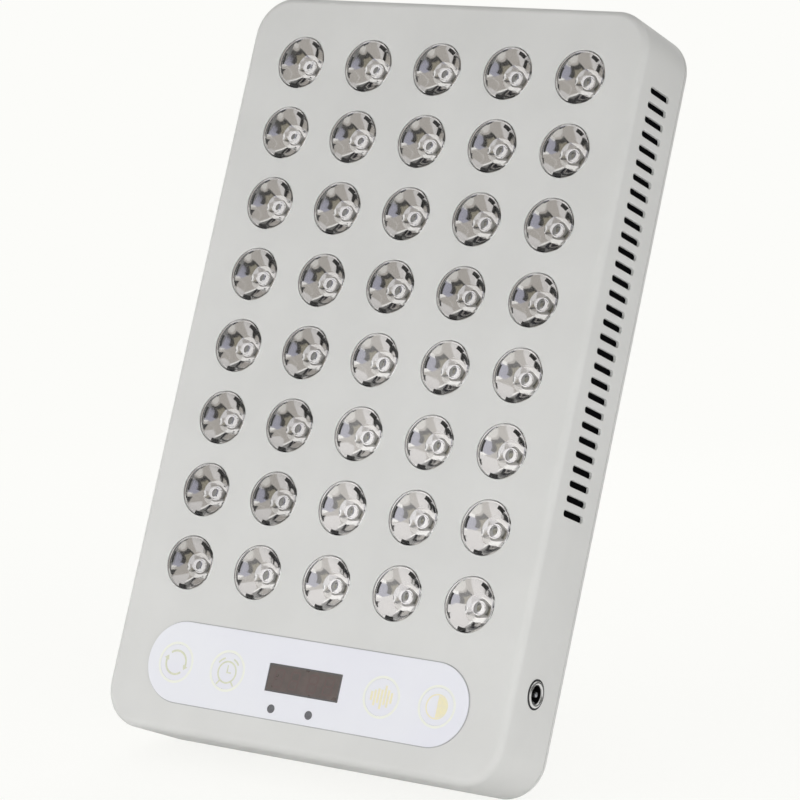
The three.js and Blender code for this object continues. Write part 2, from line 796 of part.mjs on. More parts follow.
function panelGroup() {
  const panel = new THREE.Group();
  panel.rotation.x = -lean;
  panel.add(piece('front_housing', frontHousing(), finishes.powderCoat));
  panel.add(piece('rear_cover', rearCover(), finishes.powderCoat));
  panel.add(piece('control_overlay', controlOverlay(), finishes.glossWhite));
  panel.add(piece('display_module', displayModule(), finishes.smoked));
  panel.add(piece('control_board', controlBoard(), finishes.greenBoard));
  panel.add(piece('led_board', lampBoard(), finishes.board));
  panel.add(piece('heatsink', heatsink(), finishes.aluminium));
  panel.add(piece('fan_frame', fanFrame(), finishes.blackPlastic));
  panel.add(piece('driver_board', driverBoard(), finishes.greenBoard));
  panel.add(piece('dc_jack_nut', jackNut(), finishes.steel));
  for (const { name, x, z } of lampPlaces()) {
    panel.add(placed(piece(name, lensGeometry(), finishes.clearPlastic), x, 0, z));
  }
  for (const { name, x } of keys) {
    panel.add(placed(piece(name, keyGeometry(), finishes.glossWhite), x, 0, keyHeight));
  }
  const rotorCentre = fanFront + seatGap + (fanDepth - strutDepth - 2 * seatGap) / 2;
  panel.add(placed(piece('fan_rotor', fanRotor(), finishes.blackPlastic), 0, rotorCentre, fanCentreHeight));
  const jack = piece('dc_jack', jackGeometry(), finishes.chrome);
  panel.add(placed(jack, caseWidth / 2, jackSetback, jackHeight));
  panel.add(standGroup());
  return panel;
}

// The origin is on the table, under the middle of the whole part
const part = new THREE.Group();
part.add(panelGroup());
const bounds = new THREE.Box3().setFromObject(part, true);
const middle = bounds.getCenter(new THREE.Vector3());
part.position.set(-middle.x, -middle.y, -bounds.min.z);

export default part;
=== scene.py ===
"""Looks of a tabletop light therapy panel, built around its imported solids. Lengths are in metres.

In the panel's own frame x points right, y points back from the front face and z points up along the panel.
"""

import json
import math

import bmesh
import bpy
from mathutils import Matrix, Vector

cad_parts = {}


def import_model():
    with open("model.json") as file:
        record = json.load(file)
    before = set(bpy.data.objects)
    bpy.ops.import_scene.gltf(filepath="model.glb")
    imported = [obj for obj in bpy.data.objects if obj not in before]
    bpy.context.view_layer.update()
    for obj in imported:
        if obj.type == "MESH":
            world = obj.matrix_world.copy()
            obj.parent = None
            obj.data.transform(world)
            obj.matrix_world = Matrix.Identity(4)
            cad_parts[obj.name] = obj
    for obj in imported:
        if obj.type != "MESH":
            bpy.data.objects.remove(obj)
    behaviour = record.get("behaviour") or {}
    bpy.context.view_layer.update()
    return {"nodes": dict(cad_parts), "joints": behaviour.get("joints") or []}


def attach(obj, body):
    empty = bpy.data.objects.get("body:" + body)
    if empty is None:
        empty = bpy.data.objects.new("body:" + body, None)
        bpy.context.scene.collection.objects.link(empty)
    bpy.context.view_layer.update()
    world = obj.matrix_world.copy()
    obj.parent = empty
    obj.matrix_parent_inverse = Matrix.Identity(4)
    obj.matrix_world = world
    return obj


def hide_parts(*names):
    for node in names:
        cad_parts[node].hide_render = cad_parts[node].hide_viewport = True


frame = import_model()
nodes = frame["nodes"]
joints = {joint["name"]: joint for joint in frame["joints"]}

MM = 0.001
MICRON = 0.000001

# Case
CASE_WIDTH = 180 * MM
CASE_HEIGHT = 297 * MM
CASE_DEPTH = 35 * MM
SHEET = 1.2 * MM
CORNER_RADIUS = 16 * MM
BEND_RADIUS = 3 * MM
FLANGE_WIDTH = 7 * MM
COVER_LIP = 2.2 * MM
COVER_EDGE_RADIUS = 1.2 * MM
LEAN = math.radians(22.4)
SEAT_GAP = 0.3 * MM
OVERRUN = 2 * MM
EDGE_ROUNDING = 0.25 * MM
CORNER_STEPS = 16
BEND_STEPS = 7
HOLE_EDGE_STEPS = 3

# Lamps
LAMP_COLUMNS = 5
LAMP_ROWS = 8
COLUMN_PITCH = 32 * MM
ROW_PITCH = 29.1 * MM
FIRST_ROW_DROP = 27 * MM
LENS_RADIUS = 10.35 * MM
LENS_HEIGHT = 10.2 * MM
LENS_SIDES = 96
LENS_DOME_RADIUS = 9.5 * MM
LENS_DOME_RISE = 1.5 * MM
LENS_SHOULDER = 9.9 * MM
LENS_FLANGE = 1.3 * MM
LENS_BASE_RADIUS = 2.4 * MM
LENS_CONE_SHARE = 0.95
POCKET_RADIUS = 2 * MM
POCKET_MOUTH_RADIUS = 2.2 * MM
POCKET_DEPTH = 2.4 * MM
POCKET_BULGE = 0.3 * MM

# Dark patches inside each lens, shaped like locating lugs, that stand in for dark reflections at the lens
# rims: painted reflection. Inner and outer radius in mm, start and end in degrees
DARK_RIM_PATCHES = [(8.9, 10.1, 252, 272), (8.2, 9.6, 47, 67), (8.1, 8.9, 157, 187)]
RIM_PATCH_FRONT = 0.12 * MM
RIM_PATCH_BACK = 1.1 * MM

# Side vents
VENT_COUNT = 30
VENT_PITCH = 5.63 * MM
VENT_LENGTH = 15.2 * MM
VENT_WIDTH = 2.5 * MM
VENT_SETBACK = 9.4 * MM
FIRST_VENT_DROP = 27.6 * MM

# Control strip
STRIP_LENGTH = 145.8 * MM
STRIP_HEIGHT = 31.6 * MM
STRIP_THICKNESS = 0.5 * MM
STRIP_CENTRE = 27.6 * MM
STRIP_FRONT = -0.7 * MM
INK_DEPTH = 0.02 * MM
KEY_PLACES = {"mode": -59.7 * MM, "timer": -35.3 * MM, "pulse": 35.3 * MM, "brightness": 59.7 * MM}
KEY_RADIUS = 7 * MM
KEY_THICKNESS = 1.6 * MM
KEY_CENTRE = 27.1 * MM
STEM_RADIUS = 2.5 * MM
STEM_END = 3.7 * MM
DISPLAY_WIDTH = 33.4 * MM
DISPLAY_HEIGHT = 10.8 * MM
INDICATOR_RADIUS = 1.7 * MM
INDICATOR_CENTRE = 15.8 * MM
INDICATOR_PLACES = {"left": -12 * MM, "right": 5.2 * MM}

# Fan, rear grille and screws
FAN_CENTRE = 215 * MM
GRILLE_COUNT = 9
GRILLE_PITCH = 5.8 * MM
GRILLE_SLOT = 2.8 * MM
GRILLE_RADIUS = 26 * MM
FAN_SCREW_SPACING = 50 * MM
COVER_SCREW_INSET = 5 * MM

# Low-voltage socket
JACK_HEIGHT = 38.8 * MM
JACK_SETBACK = 16 * MM
JACK_HOLE_RADIUS = 4.5 * MM

# Stand
HINGE_RADIUS = 4.4 * MM
LEG_WIDTH = 54 * MM
LEG_SHEET = 2 * MM
KNUCKLE_WIDTH = 24 * MM
SHOULDER_DROP = 8 * MM
SHOULDER_LENGTH = 12 * MM
SHOE_FLOOR = 4 * MM
BRACKET_SHEET = 1.5 * MM
BRACKET_WIDTH = 43.6 * MM
BRACKET_HEIGHT = 24 * MM
BRACKET_FRONT = -6.3 * MM
RIVET_SIDE = 18.2 * MM
RIVET_RISE = 7.5 * MM
STAND_ROUNDING = 0.3 * MM

# Camera, as fitted to the photograph: focal length and sensor in mm, roll in degrees
FOCAL_LENGTH = 155.6
SENSOR_WIDTH = 36
CAMERA_PLACE = Vector((0.7235, -1.0963, 0.3743))
CAMERA_TARGET = Vector((0.0079, -0.0094, 0.1394))
CAMERA_ROLL = -0.14

# Softboxes: place, size and power in watts. All of them face the middle of the part
SOFTBOXES = {
    "left_softbox": ((-0.46, -0.6, 0.03), (0.5, 0.3), 3.55),
    "right_softbox": ((0.6, -0.42, 0.06), (0.5, 0.25), 2.8),
    "side_softbox": ((0.8, -0.1, 0.06), (0.5, 0.25), 0.5),
    "rear_softbox": ((-0.4, 0.9, 0.3), (0.6, 0.4), 2.6),
}
MIDDLE = Vector((0, 0, 0.15))
AMBIENT = 0.5

# Glare on the photograph's lower right lenses: row, left and right end in mm, and share of the full power,
# which is in watts a square metre
GLARE = [
    (5, -16, 80, 0.12), (6, -16, 80, 0.165), (7, -16, 80, 0.18), (8, -16, 80, 0.19), (8, -48, -16, 0.12),
]
GLARE_POWER = 4
GLARE_DISTANCE = 4 * MM

# Tinted cards: how far away the upright ones are, and where those on the table start and end
CARD_DISTANCE = 4.0
TABLE_REACH = (0.12, 3.5)
CARD_LIFT = 3 * MM
CARD_STEPS = 6

# Floor: how much of itself and of the background it shows near the part, and where the first fades out
FLOOR_SIZE = 9.0
FLOOR_DROP = 0.05 * MM
FLOOR_PAINT = 0.8
SHADOW_PAINT = 0.2
SHADOW_GLOW = 0.86
SHADOW_FADE = (0.2, 0.7)


# Where the panel is, worked out from the front housing's vertices turned upright

def panel_frame():
    upright = Matrix.Rotation(LEAN, 3, "X")
    corners = [upright @ vertex.co for vertex in nodes["front_housing"].data.vertices]
    middle = (min(c.x for c in corners) + max(c.x for c in corners)) / 2
    origin = Vector((middle, min(c.y for c in corners), min(c.z for c in corners)))
    return Matrix.Rotation(-LEAN, 4, "X") @ Matrix.Translation(origin)


PANEL = panel_frame()
hinge = Vector(joints["stand_fold"]["pos_m"])
open_angle = -math.radians(joints["stand_fold"]["range_deg"][0])
BRACKET = Matrix.Translation(hinge) @ Matrix.Rotation(-LEAN, 4, "X")
LEG = Matrix.Translation(hinge) @ Matrix.Rotation(open_angle - LEAN, 4, "X")
LEG_REACH = hinge.z / math.cos(open_angle - LEAN)
QUARTER_TURN = Matrix.Rotation(math.pi / 2, 4, "Z")


# Colours and finishes

def srgb(*levels):
    """A colour from levels of 255."""
    parts = [level / 255 for level in levels]
    return (*[part / 12.92 if part <= 0.04045 else ((part + 0.055) / 1.055) ** 2.4 for part in parts], 1.0)


BACKGROUND = srgb(252, 252, 249)


def add_node(tree, kind, values=None, **settings):
    """A new node. Its sockets, by name or number, get a value or another node's output."""
    made = tree.nodes.new("ShaderNode" + kind)
    for key, value in settings.items():
        setattr(made, key, value)
    for socket, value in (values or {}).items():
        if isinstance(value, bpy.types.NodeSocket):
            tree.links.new(value, made.inputs[socket])
        else:
            made.inputs[socket].default_value = value
    return made


class Finish:
    """A node-based material that follows the piece's own coordinates."""

    MIDDLE_OF_NOISE = {"From Min": 0.35, "From Max": 0.65}

    def __init__(self, name, colour, roughness, metallic=0.0, others=None):
        self.material = bpy.data.materials.new(name)
        self.material.use_nodes = True
        self.tree = self.material.node_tree
        self.sockets = self.tree.nodes["Principled BSDF"].inputs
        values = {"Base Color": colour, "Roughness": roughness, "Metallic": metallic, **(others or {})}
        for socket, value in values.items():
            self.sockets[socket].default_value = value
        self.place = add_node(self.tree, "TexCoord").outputs["Object"]
        self.last_bump = None

    def link(self, output, socket):
        self.tree.links.new(output, self.sockets[socket])
        return self

    def noise(self, scale, detail, stretch):
        mapping = add_node(self.tree, "Mapping", {"Scale": stretch, "Vector": self.place})
        values = {"Scale": scale, "Detail": detail, "Vector": mapping.outputs["Vector"]}
        return add_node(self.tree, "TexNoise", values).outputs["Fac"]

    def drift(self, scale, low, high, stretch=(1, 1, 1)):
        """A value that wanders between two limits; scale is how many times it does so in a metre."""
        noise = self.noise(scale, 3.0, stretch)
        values = {**self.MIDDLE_OF_NOISE, "To Min": low, "To Max": high, "Value": noise}
        return add_node(self.tree, "MapRange", values).outputs["Result"]

    def grain(self, scale, height, detail=2.0, stretch=(1, 1, 1)):
        """Bumps of that height in microns; scale is how many there are to a metre."""
        values = {"Distance": height * MICRON, "Height": self.noise(scale, detail, stretch)}
        if self.last_bump:
            values["Normal"] = self.last_bump
        self.last_bump = add_node(self.tree, "Bump", values).outputs["Normal"]
        return self.link(self.last_bump, "Normal")

    def mottle(self, scale, low, high, stretch=(1, 1, 1)):
        """Roughness that wanders between two values."""
        return self.link(self.drift(scale, low, high, stretch), "Roughness")

    def shade(self, other, scale, share=1.0):
        """Base colour that drifts towards another colour."""
        own = self.sockets["Base Color"].default_value
        values = {"A": own, "B": other, "Factor": self.drift(scale, 0.0, share)}
        mix = add_node(self.tree, "Mix", values, data_type="RGBA")
        return self.link(mix.outputs["Result"], "Base Color")


powder_coat = Finish("powder_coat", srgb(213, 213, 211), 0.45)
powder_coat.shade(srgb(209, 209, 207), 30).mottle(60, 0.4, 0.5).grain(420, 9).grain(1900, 5)

film = Finish("gloss_film", srgb(232, 233, 238), 0.14)
film.shade(srgb(226, 226, 236), 14, 0.8).mottle(90, 0.1, 0.18).grain(160, 5)

key_film = Finish("key_film", srgb(232, 233, 237), 0.14)
key_film.shade(srgb(228, 228, 236), 40).mottle(90, 0.1, 0.18).grain(300, 4)

# Dark grey for the ring around the film: painted shade along the film's edge
strip_edge_shade_paint = Finish("strip_edge_painted_shade", srgb(176, 176, 176), 0.5).shade(srgb(164, 164, 165), 120).grain(900, 6)
pale_ink = Finish("pale_ink", srgb(214, 216, 190), 0.4).shade(srgb(203, 205, 182), 900).grain(2500, 2)
gold_ink = Finish("gold_ink", srgb(235, 227, 188), 0.4).shade(srgb(230, 224, 196), 900).grain(2500, 2)
ring_ink = Finish("ring_ink", srgb(229, 231, 225), 0.35).shade(srgb(232, 233, 223), 500).grain(2500, 2)

smoked = Finish("smoked_window", srgb(98, 86, 82), 0.3)
smoked.shade(srgb(86, 79, 75), 260).mottle(200, 0.27, 0.34).grain(900, 3)

segment_ink = Finish("segment_ghost", srgb(94, 80, 77), 0.3).shade(srgb(96, 78, 76), 700).grain(2500, 2)
window_frame = Finish("window_frame", srgb(84, 84, 85), 0.3).shade(srgb(92, 91, 92), 400).grain(2500, 2)
indicator_lens = Finish("indicator_lens", srgb(94, 94, 98), 0.25)
indicator_lens.shade(srgb(106, 106, 110), 1200).grain(1500, 4)

clear = {"Transmission Weight": 1.0, "IOR": 1.49}
clear_lens = Finish("clear_acrylic", (0.97, 0.97, 0.98, 1), 0.02, others=clear).grain(700, 1.5)

white_board = Finish("white_solder_mask", srgb(228, 229, 226), 0.4)
white_board.shade(srgb(214, 215, 213), 120).grain(1500, 3)
ceramic = Finish("emitter_ceramic", srgb(104, 102, 90), 0.5).shade(srgb(92, 90, 80), 900).grain(3000, 3)

silicone = Finish("emitter_dome", srgb(196, 193, 170), 0.12, others={"Coat Weight": 0.6})
silicone.shade(srgb(136, 132, 104), 700).grain(1200, 4)

emitter_seat = Finish("emitter_seat", srgb(242, 241, 237), 0.6)
emitter_seat.shade(srgb(230, 229, 224), 900).grain(2500, 3)

silvering = Finish("lens_silvering", (0.9, 0.89, 0.88, 1), 0.06, 1.0)
silvering.mottle(400, 0.045, 0.075).grain(500, 1)

matt = {"Specular IOR Level": 0.0}
# Near-black for the patches at the lens rims: painted reflection
rim_reflection_black = Finish("lens_rim_painted_reflection", srgb(14, 12, 12), 0.6, others=matt)
rim_reflection_black.shade(srgb(24, 20, 20), 700).grain(1500, 4)

green_board = Finish("green_solder_mask", srgb(44, 90, 56), 0.4).shade(srgb(36, 74, 46), 250).grain(1200, 6)

aluminium = Finish("extruded_aluminium", srgb(196, 198, 201), 0.34, 1.0)
aluminium.mottle(300, 0.28, 0.42, (1, 1, 0.05)).grain(900, 8, 3.0, (1, 1, 0.04))

black_plastic = Finish("black_moulded_plastic", srgb(30, 30, 32), 0.5)
black_plastic.shade(srgb(38, 38, 40), 200).mottle(150, 0.42, 0.58).grain(1800, 8)

chrome = Finish("chrome", srgb(214, 214, 214), 0.08, 1.0).mottle(500, 0.05, 0.14).grain(700, 3)
bore_plastic = Finish("socket_insulator", srgb(12, 12, 13), 0.35)
bore_plastic.shade(srgb(18, 18, 19), 800).grain(2000, 4)

zinc = Finish("zinc_plated_steel", srgb(188, 189, 192), 0.28, 1.0)
zinc.shade(srgb(168, 170, 176), 350).mottle(500, 0.22, 0.36).grain(1500, 4)

rubber = Finish("black_rubber", srgb(36, 36, 38), 0.8)
rubber.shade(srgb(48, 48, 50), 180).mottle(120, 0.7, 0.9).grain(1600, 14)

# Near-black for the sheets behind the vents: painted shade of the case's inside
vent_shade_black = Finish("vent_painted_shade", srgb(9, 9, 10), 0.95, others=matt)
vent_shade_black.shade(srgb(13, 13, 14), 900).grain(1400, 60)


# Outlines: points in a plane

def between(start, end, steps):
    """Angles in radians, evenly spaced between two in degrees."""
    return [math.radians(start + (end - start) * step / steps) for step in range(steps + 1)]


def shares(steps):
    return [step / steps for step in range(steps + 1)]


def quarter(steps):
    """Sine and cosine from 0 to 90 degrees, with an exact 0 at both ends."""
    angles = [math.pi / 2 * step / steps for step in range(steps)]
    return [(math.sin(angle), math.cos(angle)) for angle in angles] + [(1, 0)]


def bend_rings(inset, front, radius, steps=BEND_STEPS):
    """Inset and depth of the rings along a quarter bend."""
    return [(inset + radius * (1 - sine), front + radius * (1 - cosine)) for sine, cosine in quarter(steps)]


def arc(centre, radius, start, end, steps):
    """Points on an arc, from a start to an end angle in degrees."""
    angles = between(start, end, steps)
    return [(centre[0] + radius * math.cos(a), centre[1] + radius * math.sin(a)) for a in angles]


def band(centre, inner, outer, start, end, steps):
    """Part of a ring, from a start to an end angle in degrees."""
    return arc(centre, outer, start, end, steps) + arc(centre, inner, end, start, steps)


def rounded(width, height, radius, steps=CORNER_STEPS, centre=(0, 0)):
    across, up = width / 2 - radius, height / 2 - radius
    points = []
    for turn, (x, y) in enumerate([(across, up), (-across, up), (-across, -up), (across, -up)]):
        points += arc((centre[0] + x, centre[1] + y), radius, 90 * turn, 90 * turn + 90, steps)
    return points


def stadium(length, width, steps, centre=(0, 0)):
    reach = (length - width) / 2
    right = arc((centre[0] + reach, centre[1]), width / 2, -90, 90, steps)
    return right + arc((centre[0] - reach, centre[1]), width / 2, 90, 270, steps)


def box(left, right, low, high):
    return [(left, low), (right, low), (right, high), (left, high)]


def upright_slot(length, width, x, z):
    return [(x - across, z + along) for along, across in stadium(length, width, 8)]


def circle(radius, sides, centre=(0, 0)):
    return arc(centre, radius, 0, 360 * (sides - 1) / sides, sides - 1)


def case_outline(inset):
    size = CASE_WIDTH - 2 * inset, CASE_HEIGHT - 2 * inset
    return rounded(*size, CORNER_RADIUS - inset, centre=(0, CASE_HEIGHT / 2))


def facing(points, y):
    """An outline in x and z, set at a depth."""
    return [(x, y, z) for x, z in points]


def sideways(points, x):
    """An outline in y and z, set at a place across."""
    return [(x, y, z) for y, z in points]


# Shapes: bmeshes in the panel's frame or in a piece's own

def loft(rings, ends=True):
    """A skin over rings of equally many points or of one, closed at both ends."""
    shape = bmesh.new()
    loops = [[shape.verts.new(point) for point in ring] for ring in rings]
    for near, far in zip(loops, loops[1:]):
        sides = max(len(near), len(far))
        for here in range(sides):
            there = (here + 1) % sides
            start = near if len(near) == 1 else [near[here], near[there]]
            end = far if len(far) == 1 else [far[there], far[here]]
            shape.faces.new(start + end)
    if ends:
        shape.faces.new(loops[0][::-1])
        shape.faces.new(loops[-1])
    bmesh.ops.recalc_face_normals(shape, faces=shape.faces)
    return shape


def slab(outline, front, back):
    """An outline in x and z, filled between two depths."""
    return loft([facing(outline, y) for y in (front, back)])


def side_slab(outline, near, far):
    """An outline in y and z, filled between two places across."""
    return loft([sideways(outline, x) for x in (near, far)])


def closed_loft(rings):
    """A skin over rings that end where they start."""
    shape = loft(rings, ends=False)
    bmesh.ops.remove_doubles(shape, verts=shape.verts, dist=MICRON)
    bmesh.ops.recalc_face_normals(shape, faces=shape.faces)
    return shape


def turned_ring(profile, sides, centre=(0, 0)):
    """A ring turned around an axis along y, with a closed profile of radius and y."""
    return closed_loft([facing(circle(radius, sides, centre), y) for radius, y in profile])


def turned(profile, sides):
    """A shape turned around the y axis. Its profile gives radius and y, from axis to axis."""
    rings = [facing(circle(radius, sides), y) if radius else [(0, y, 0)] for radius, y in profile]
    return loft(rings, ends=False)


def as_mesh(name, shape):
    mesh = bpy.data.meshes.new(name)
    shape.to_mesh(mesh)
    shape.free()
    return mesh


def in_scene(name, data):
    made = bpy.data.objects.new(name, data)
    bpy.context.scene.collection.objects.link(made)
    return made


def together(shapes):
    """One shape out of several; each keeps its material numbers."""
    whole = bmesh.new()
    for shape in shapes:
        mesh = as_mesh("passing", shape)
        whole.from_mesh(mesh)
        bpy.data.meshes.remove(mesh)
    return whole


def painted(shape, number):
    for face in shape.faces:
        face.material_index = number
    return shape


def cut(shape, cutters):
    """The shape less its cutters, which don't touch each other."""
    whole, tool = [in_scene("passing", as_mesh("passing", part)) for part in (shape, together(cutters))]
    modifier = whole.modifiers.new("cut", "BOOLEAN")
    modifier.object = tool
    modifier.solver = "EXACT"
    result = bmesh.new()
    result.from_object(whole, bpy.context.evaluated_depsgraph_get())
    for passing in (whole, tool):
        mesh = passing.data
        bpy.data.objects.remove(passing)
        bpy.data.meshes.remove(mesh)
    return result


def plug(outline, back=OVERRUN):
    """A cutter through the front, from before it to a depth."""
    return slab(outline, -OVERRUN, back)


def round_hole(radius, sides, x, z):
    """A cutter through the front sheet for a round hole with a rounded front edge."""
    edge = bend_rings(0, 0, EDGE_ROUNDING, HOLE_EDGE_STEPS)
    rings = [(EDGE_ROUNDING, -OVERRUN), *edge, (0, SHEET + OVERRUN)]
    return loft([facing(circle(radius + grown, sides, (x, z)), y) for grown, y in rings])


# Pieces: objects on a body, with materials

def mesh_of(name, shape, finishes, crease=35):
    mesh = as_mesh(name, shape)
    for finish in finishes:
        mesh.materials.append(finish.material)
    mesh.shade_smooth()
    mesh.set_sharp_from_angle(angle=math.radians(crease))
    return mesh


def piece(name, mesh, slot, place=PANEL, stands_for=(), body="panel"):
    made = in_scene(name, mesh)
    made.matrix_world = place
    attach(made, body)
    if stands_for:
        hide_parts(*stands_for)
    return made


def own_piece(name, shape, finishes, slot, *rest, **others):
    """A piece whose mesh no other piece shares."""
    return piece(name, mesh_of(name, shape, finishes), slot, *rest, **others)


def even_shading(made):
    """Keeps flat faces flat beside their rounded edges."""
    made.modifiers.new("flat faces", "WEIGHTED_NORMAL").keep_sharp = True


def soften(made, width):
    """Rounds the edges."""
    bevel = made.modifiers.new("rounded edges", "BEVEL")
    bevel.width = width
    bevel.segments = 2
    bevel.limit_method = "ANGLE"
    bevel.angle_limit = math.radians(40)
    bevel.harden_normals = True
    even_shading(made)


# Case

def row_height(row):
    """How high the lenses of a row are; the top row is 0."""
    return CASE_HEIGHT - FIRST_ROW_DROP - row * ROW_PITCH


def on_front(x, z):
    return PANEL @ Matrix.Translation((x, 0, z))


def lamp_places():
    for row in range(LAMP_ROWS):
        for column in range(LAMP_COLUMNS):
            x = (column - (LAMP_COLUMNS - 1) / 2) * COLUMN_PITCH
            yield f"r{row + 1}_c{column + 1}", x, row_height(row)


def vent_cutters():
    wall = CASE_WIDTH / 2
    profile = [(wall - SHEET - OVERRUN, 0)]
    profile += [(wall - inset, grown) for inset, grown in bend_rings(0, 0, EDGE_ROUNDING, HOLE_EDGE_STEPS)]
    profile.append((wall + OVERRUN, EDGE_ROUNDING))
    for vent in range(VENT_COUNT):
        centre = VENT_SETBACK + VENT_LENGTH / 2, CASE_HEIGHT - FIRST_VENT_DROP - vent * VENT_PITCH
        for side in (-1, 1):
            yield loft([
                sideways(stadium(VENT_LENGTH + 2 * grown, VENT_WIDTH + 2 * grown, 8, centre), side * x)
                for x, grown in profile
            ])


def front_housing():
    rim_depth = CASE_DEPTH - COVER_LIP - SEAT_GAP
    rim = [(inset, rim_depth) for inset in (0, FLANGE_WIDTH)]
    rim += [(inset, rim_depth - SHEET) for inset in (FLANGE_WIDTH, SHEET)]
    inside = bend_rings(SHEET, SHEET, BEND_RADIUS - SHEET)[::-1]
    rings = bend_rings(0, 0, BEND_RADIUS) + rim + inside
    shell = loft([facing(case_outline(inset), y) for inset, y in rings])
    cutters = list(vent_cutters())
    cutters += [round_hole(LENS_RADIUS + SEAT_GAP, 64, x, z) for _, x, z in lamp_places()]
    cutters += [round_hole(KEY_RADIUS + SEAT_GAP, 48, x, KEY_CENTRE) for x in KEY_PLACES.values()]
    cutters += [round_hole(INDICATOR_RADIUS, 32, x, INDICATOR_CENTRE) for x in INDICATOR_PLACES.values()]
    reach = SHEET + OVERRUN
    window = DISPLAY_WIDTH + 2 * SEAT_GAP, DISPLAY_HEIGHT + 2 * SEAT_GAP
    cutters.append(plug(rounded(*window, SEAT_GAP, 3, (0, STRIP_CENTRE)), reach))
    socket_hole = circle(JACK_HOLE_RADIUS, 48, (JACK_SETBACK, JACK_HEIGHT))
    cutters.append(side_slab(socket_hole, CASE_WIDTH / 2 - reach, CASE_WIDTH / 2 + reach))
    shell = cut(shell, cutters)
    even_shading(own_piece("housing_shell", shell, [powder_coat], "powder_coat", PANEL, ["front_housing"]))


def grille_cutters():
    inside = CASE_DEPTH - SHEET - OVERRUN
    profile = [(0, inside), (0, CASE_DEPTH - EDGE_ROUNDING)]
    profile += [(EDGE_ROUNDING, CASE_DEPTH), (EDGE_ROUNDING, CASE_DEPTH + OVERRUN)]
    for slot in range(GRILLE_COUNT):
        x = (slot - (GRILLE_COUNT - 1) / 2) * GRILLE_PITCH
        length = 2 * math.sqrt(GRILLE_RADIUS ** 2 - x ** 2)
        yield loft([
            facing(upright_slot(length + 2 * grown, GRILLE_SLOT + 2 * grown, x, FAN_CENTRE), y)
            for grown, y in profile
        ])


def rear_cover():
    edge = [(inset, CASE_DEPTH - y) for inset, y in bend_rings(0, 0, COVER_EDGE_RADIUS)]
    lip = CASE_DEPTH - COVER_LIP
    profile = edge + [(0, lip), (SHEET, lip), (SHEET, CASE_DEPTH - SHEET)]
    tray = cut(loft([facing(case_outline(inset), y) for inset, y in profile]), grille_cutters())
    even_shading(own_piece("rear_tray", tray, [powder_coat], "powder_coat", PANEL, ["rear_cover"]))


# Near-black sheets behind the vents of both sides: painted shade of the case's inside, seen through the
# vents
def vent_shade_screens():
    thickness, margin = 1.2 * MM, 1.5 * MM
    run = (VENT_COUNT - 1) * VENT_PITCH
    centre = VENT_SETBACK + VENT_LENGTH / 2, CASE_HEIGHT - FIRST_VENT_DROP - run / 2
    outline = rounded(VENT_LENGTH + 2 * margin, run + VENT_WIDTH + 2 * margin, margin, 6, centre)
    inner = CASE_WIDTH / 2 - SHEET - thickness
    for side, word in ((-1, "left"), (1, "right")):
        screen = side_slab(outline, side * inner, side * (inner + thickness))
        own_piece(f"vent_painted_shade_{word}", screen, [vent_shade_black], "black_plastic")


# Lenses, and the emitters under them

def lens_wall_radius(share):
    """The silvered wall's radius at a share of its depth: partly a cone's, partly a parabola's."""
    drop = LENS_CONE_SHARE * share + (1 - LENS_CONE_SHARE) * share ** 2
    return LENS_SHOULDER - (LENS_SHOULDER - LENS_BASE_RADIUS) * drop


def lens_mesh():
    """A collimator: a domed front inside a flange, a silvered wall, and a pocket over the emitter."""
    rounding = 0.2 * MM
    profile = [(LENS_DOME_RADIUS * share, -LENS_DOME_RISE * (1 - share ** 2)) for share in shares(12)]
    profile += [(LENS_RADIUS - rounding, 0), (LENS_RADIUS, rounding)]
    profile += [(LENS_RADIUS, LENS_FLANGE), (LENS_SHOULDER, LENS_FLANGE)]
    for share in shares(16)[1:]:
        profile.append((lens_wall_radius(share), LENS_FLANGE + (LENS_HEIGHT - LENS_FLANGE) * share))
    pocket_floor = LENS_HEIGHT - POCKET_DEPTH
    profile += [(POCKET_MOUTH_RADIUS, LENS_HEIGHT), (POCKET_RADIUS, pocket_floor)]
    for share in reversed(shares(8)[:-1]):
        profile.append((POCKET_RADIUS * share, pocket_floor + POCKET_BULGE * (1 - share ** 2)))
    body = turned(profile, LENS_SIDES)
    for face in body.faces:
        radius = min(math.hypot(vertex.co.x, vertex.co.z) for vertex in face.verts)
        front = min(vertex.co.y for vertex in face.verts)
        if front > LENS_FLANGE - MICRON and radius > POCKET_MOUTH_RADIUS - MICRON:
            face.material_index = 1
    shapes = [body]
    # Dark patches near the rim: painted reflection
    for inner, outer, start, end in DARK_RIM_PATCHES:
        outline = band((0, 0), inner * MM, outer * MM, start, end, 8)
        shapes.append(painted(slab(outline, RIM_PATCH_FRONT, RIM_PATCH_BACK), 2))
    return mesh_of("collimator", together(shapes), [clear_lens, silvering, rim_reflection_black], crease=30)


def lenses():
    shared = lens_mesh()
    for name, x, z in lamp_places():
        piece(f"collimator_{name}", shared, "clear_lens", on_front(x, z), [f"lens_{name}"])


def emitter(x, front, z):
    """A pale seat wider than the pocket's mouth, a package on it, and a silicone dome."""
    seat_radius, seat_height = 2.3 * MM, 0.15 * MM
    base, base_corner, base_height = 2.6 * MM, 0.4 * MM, 0.5 * MM
    dome, dome_height = 1.2 * MM, 0.8 * MM
    seat = slab(circle(seat_radius, 32), -seat_height, 0)
    package = slab(rounded(base, base, base_corner, 3), -base_height, -seat_height)
    profile = [(dome * sine, -base_height - dome_height * cosine) for sine, cosine in quarter(8)]
    profile.append((0, -base_height))
    whole = together([painted(seat, 3), painted(package, 1), painted(turned(profile, 24), 2)])
    bmesh.ops.transform(whole, matrix=Matrix.Translation((x, front, z)), verts=whole.verts)
    return whole


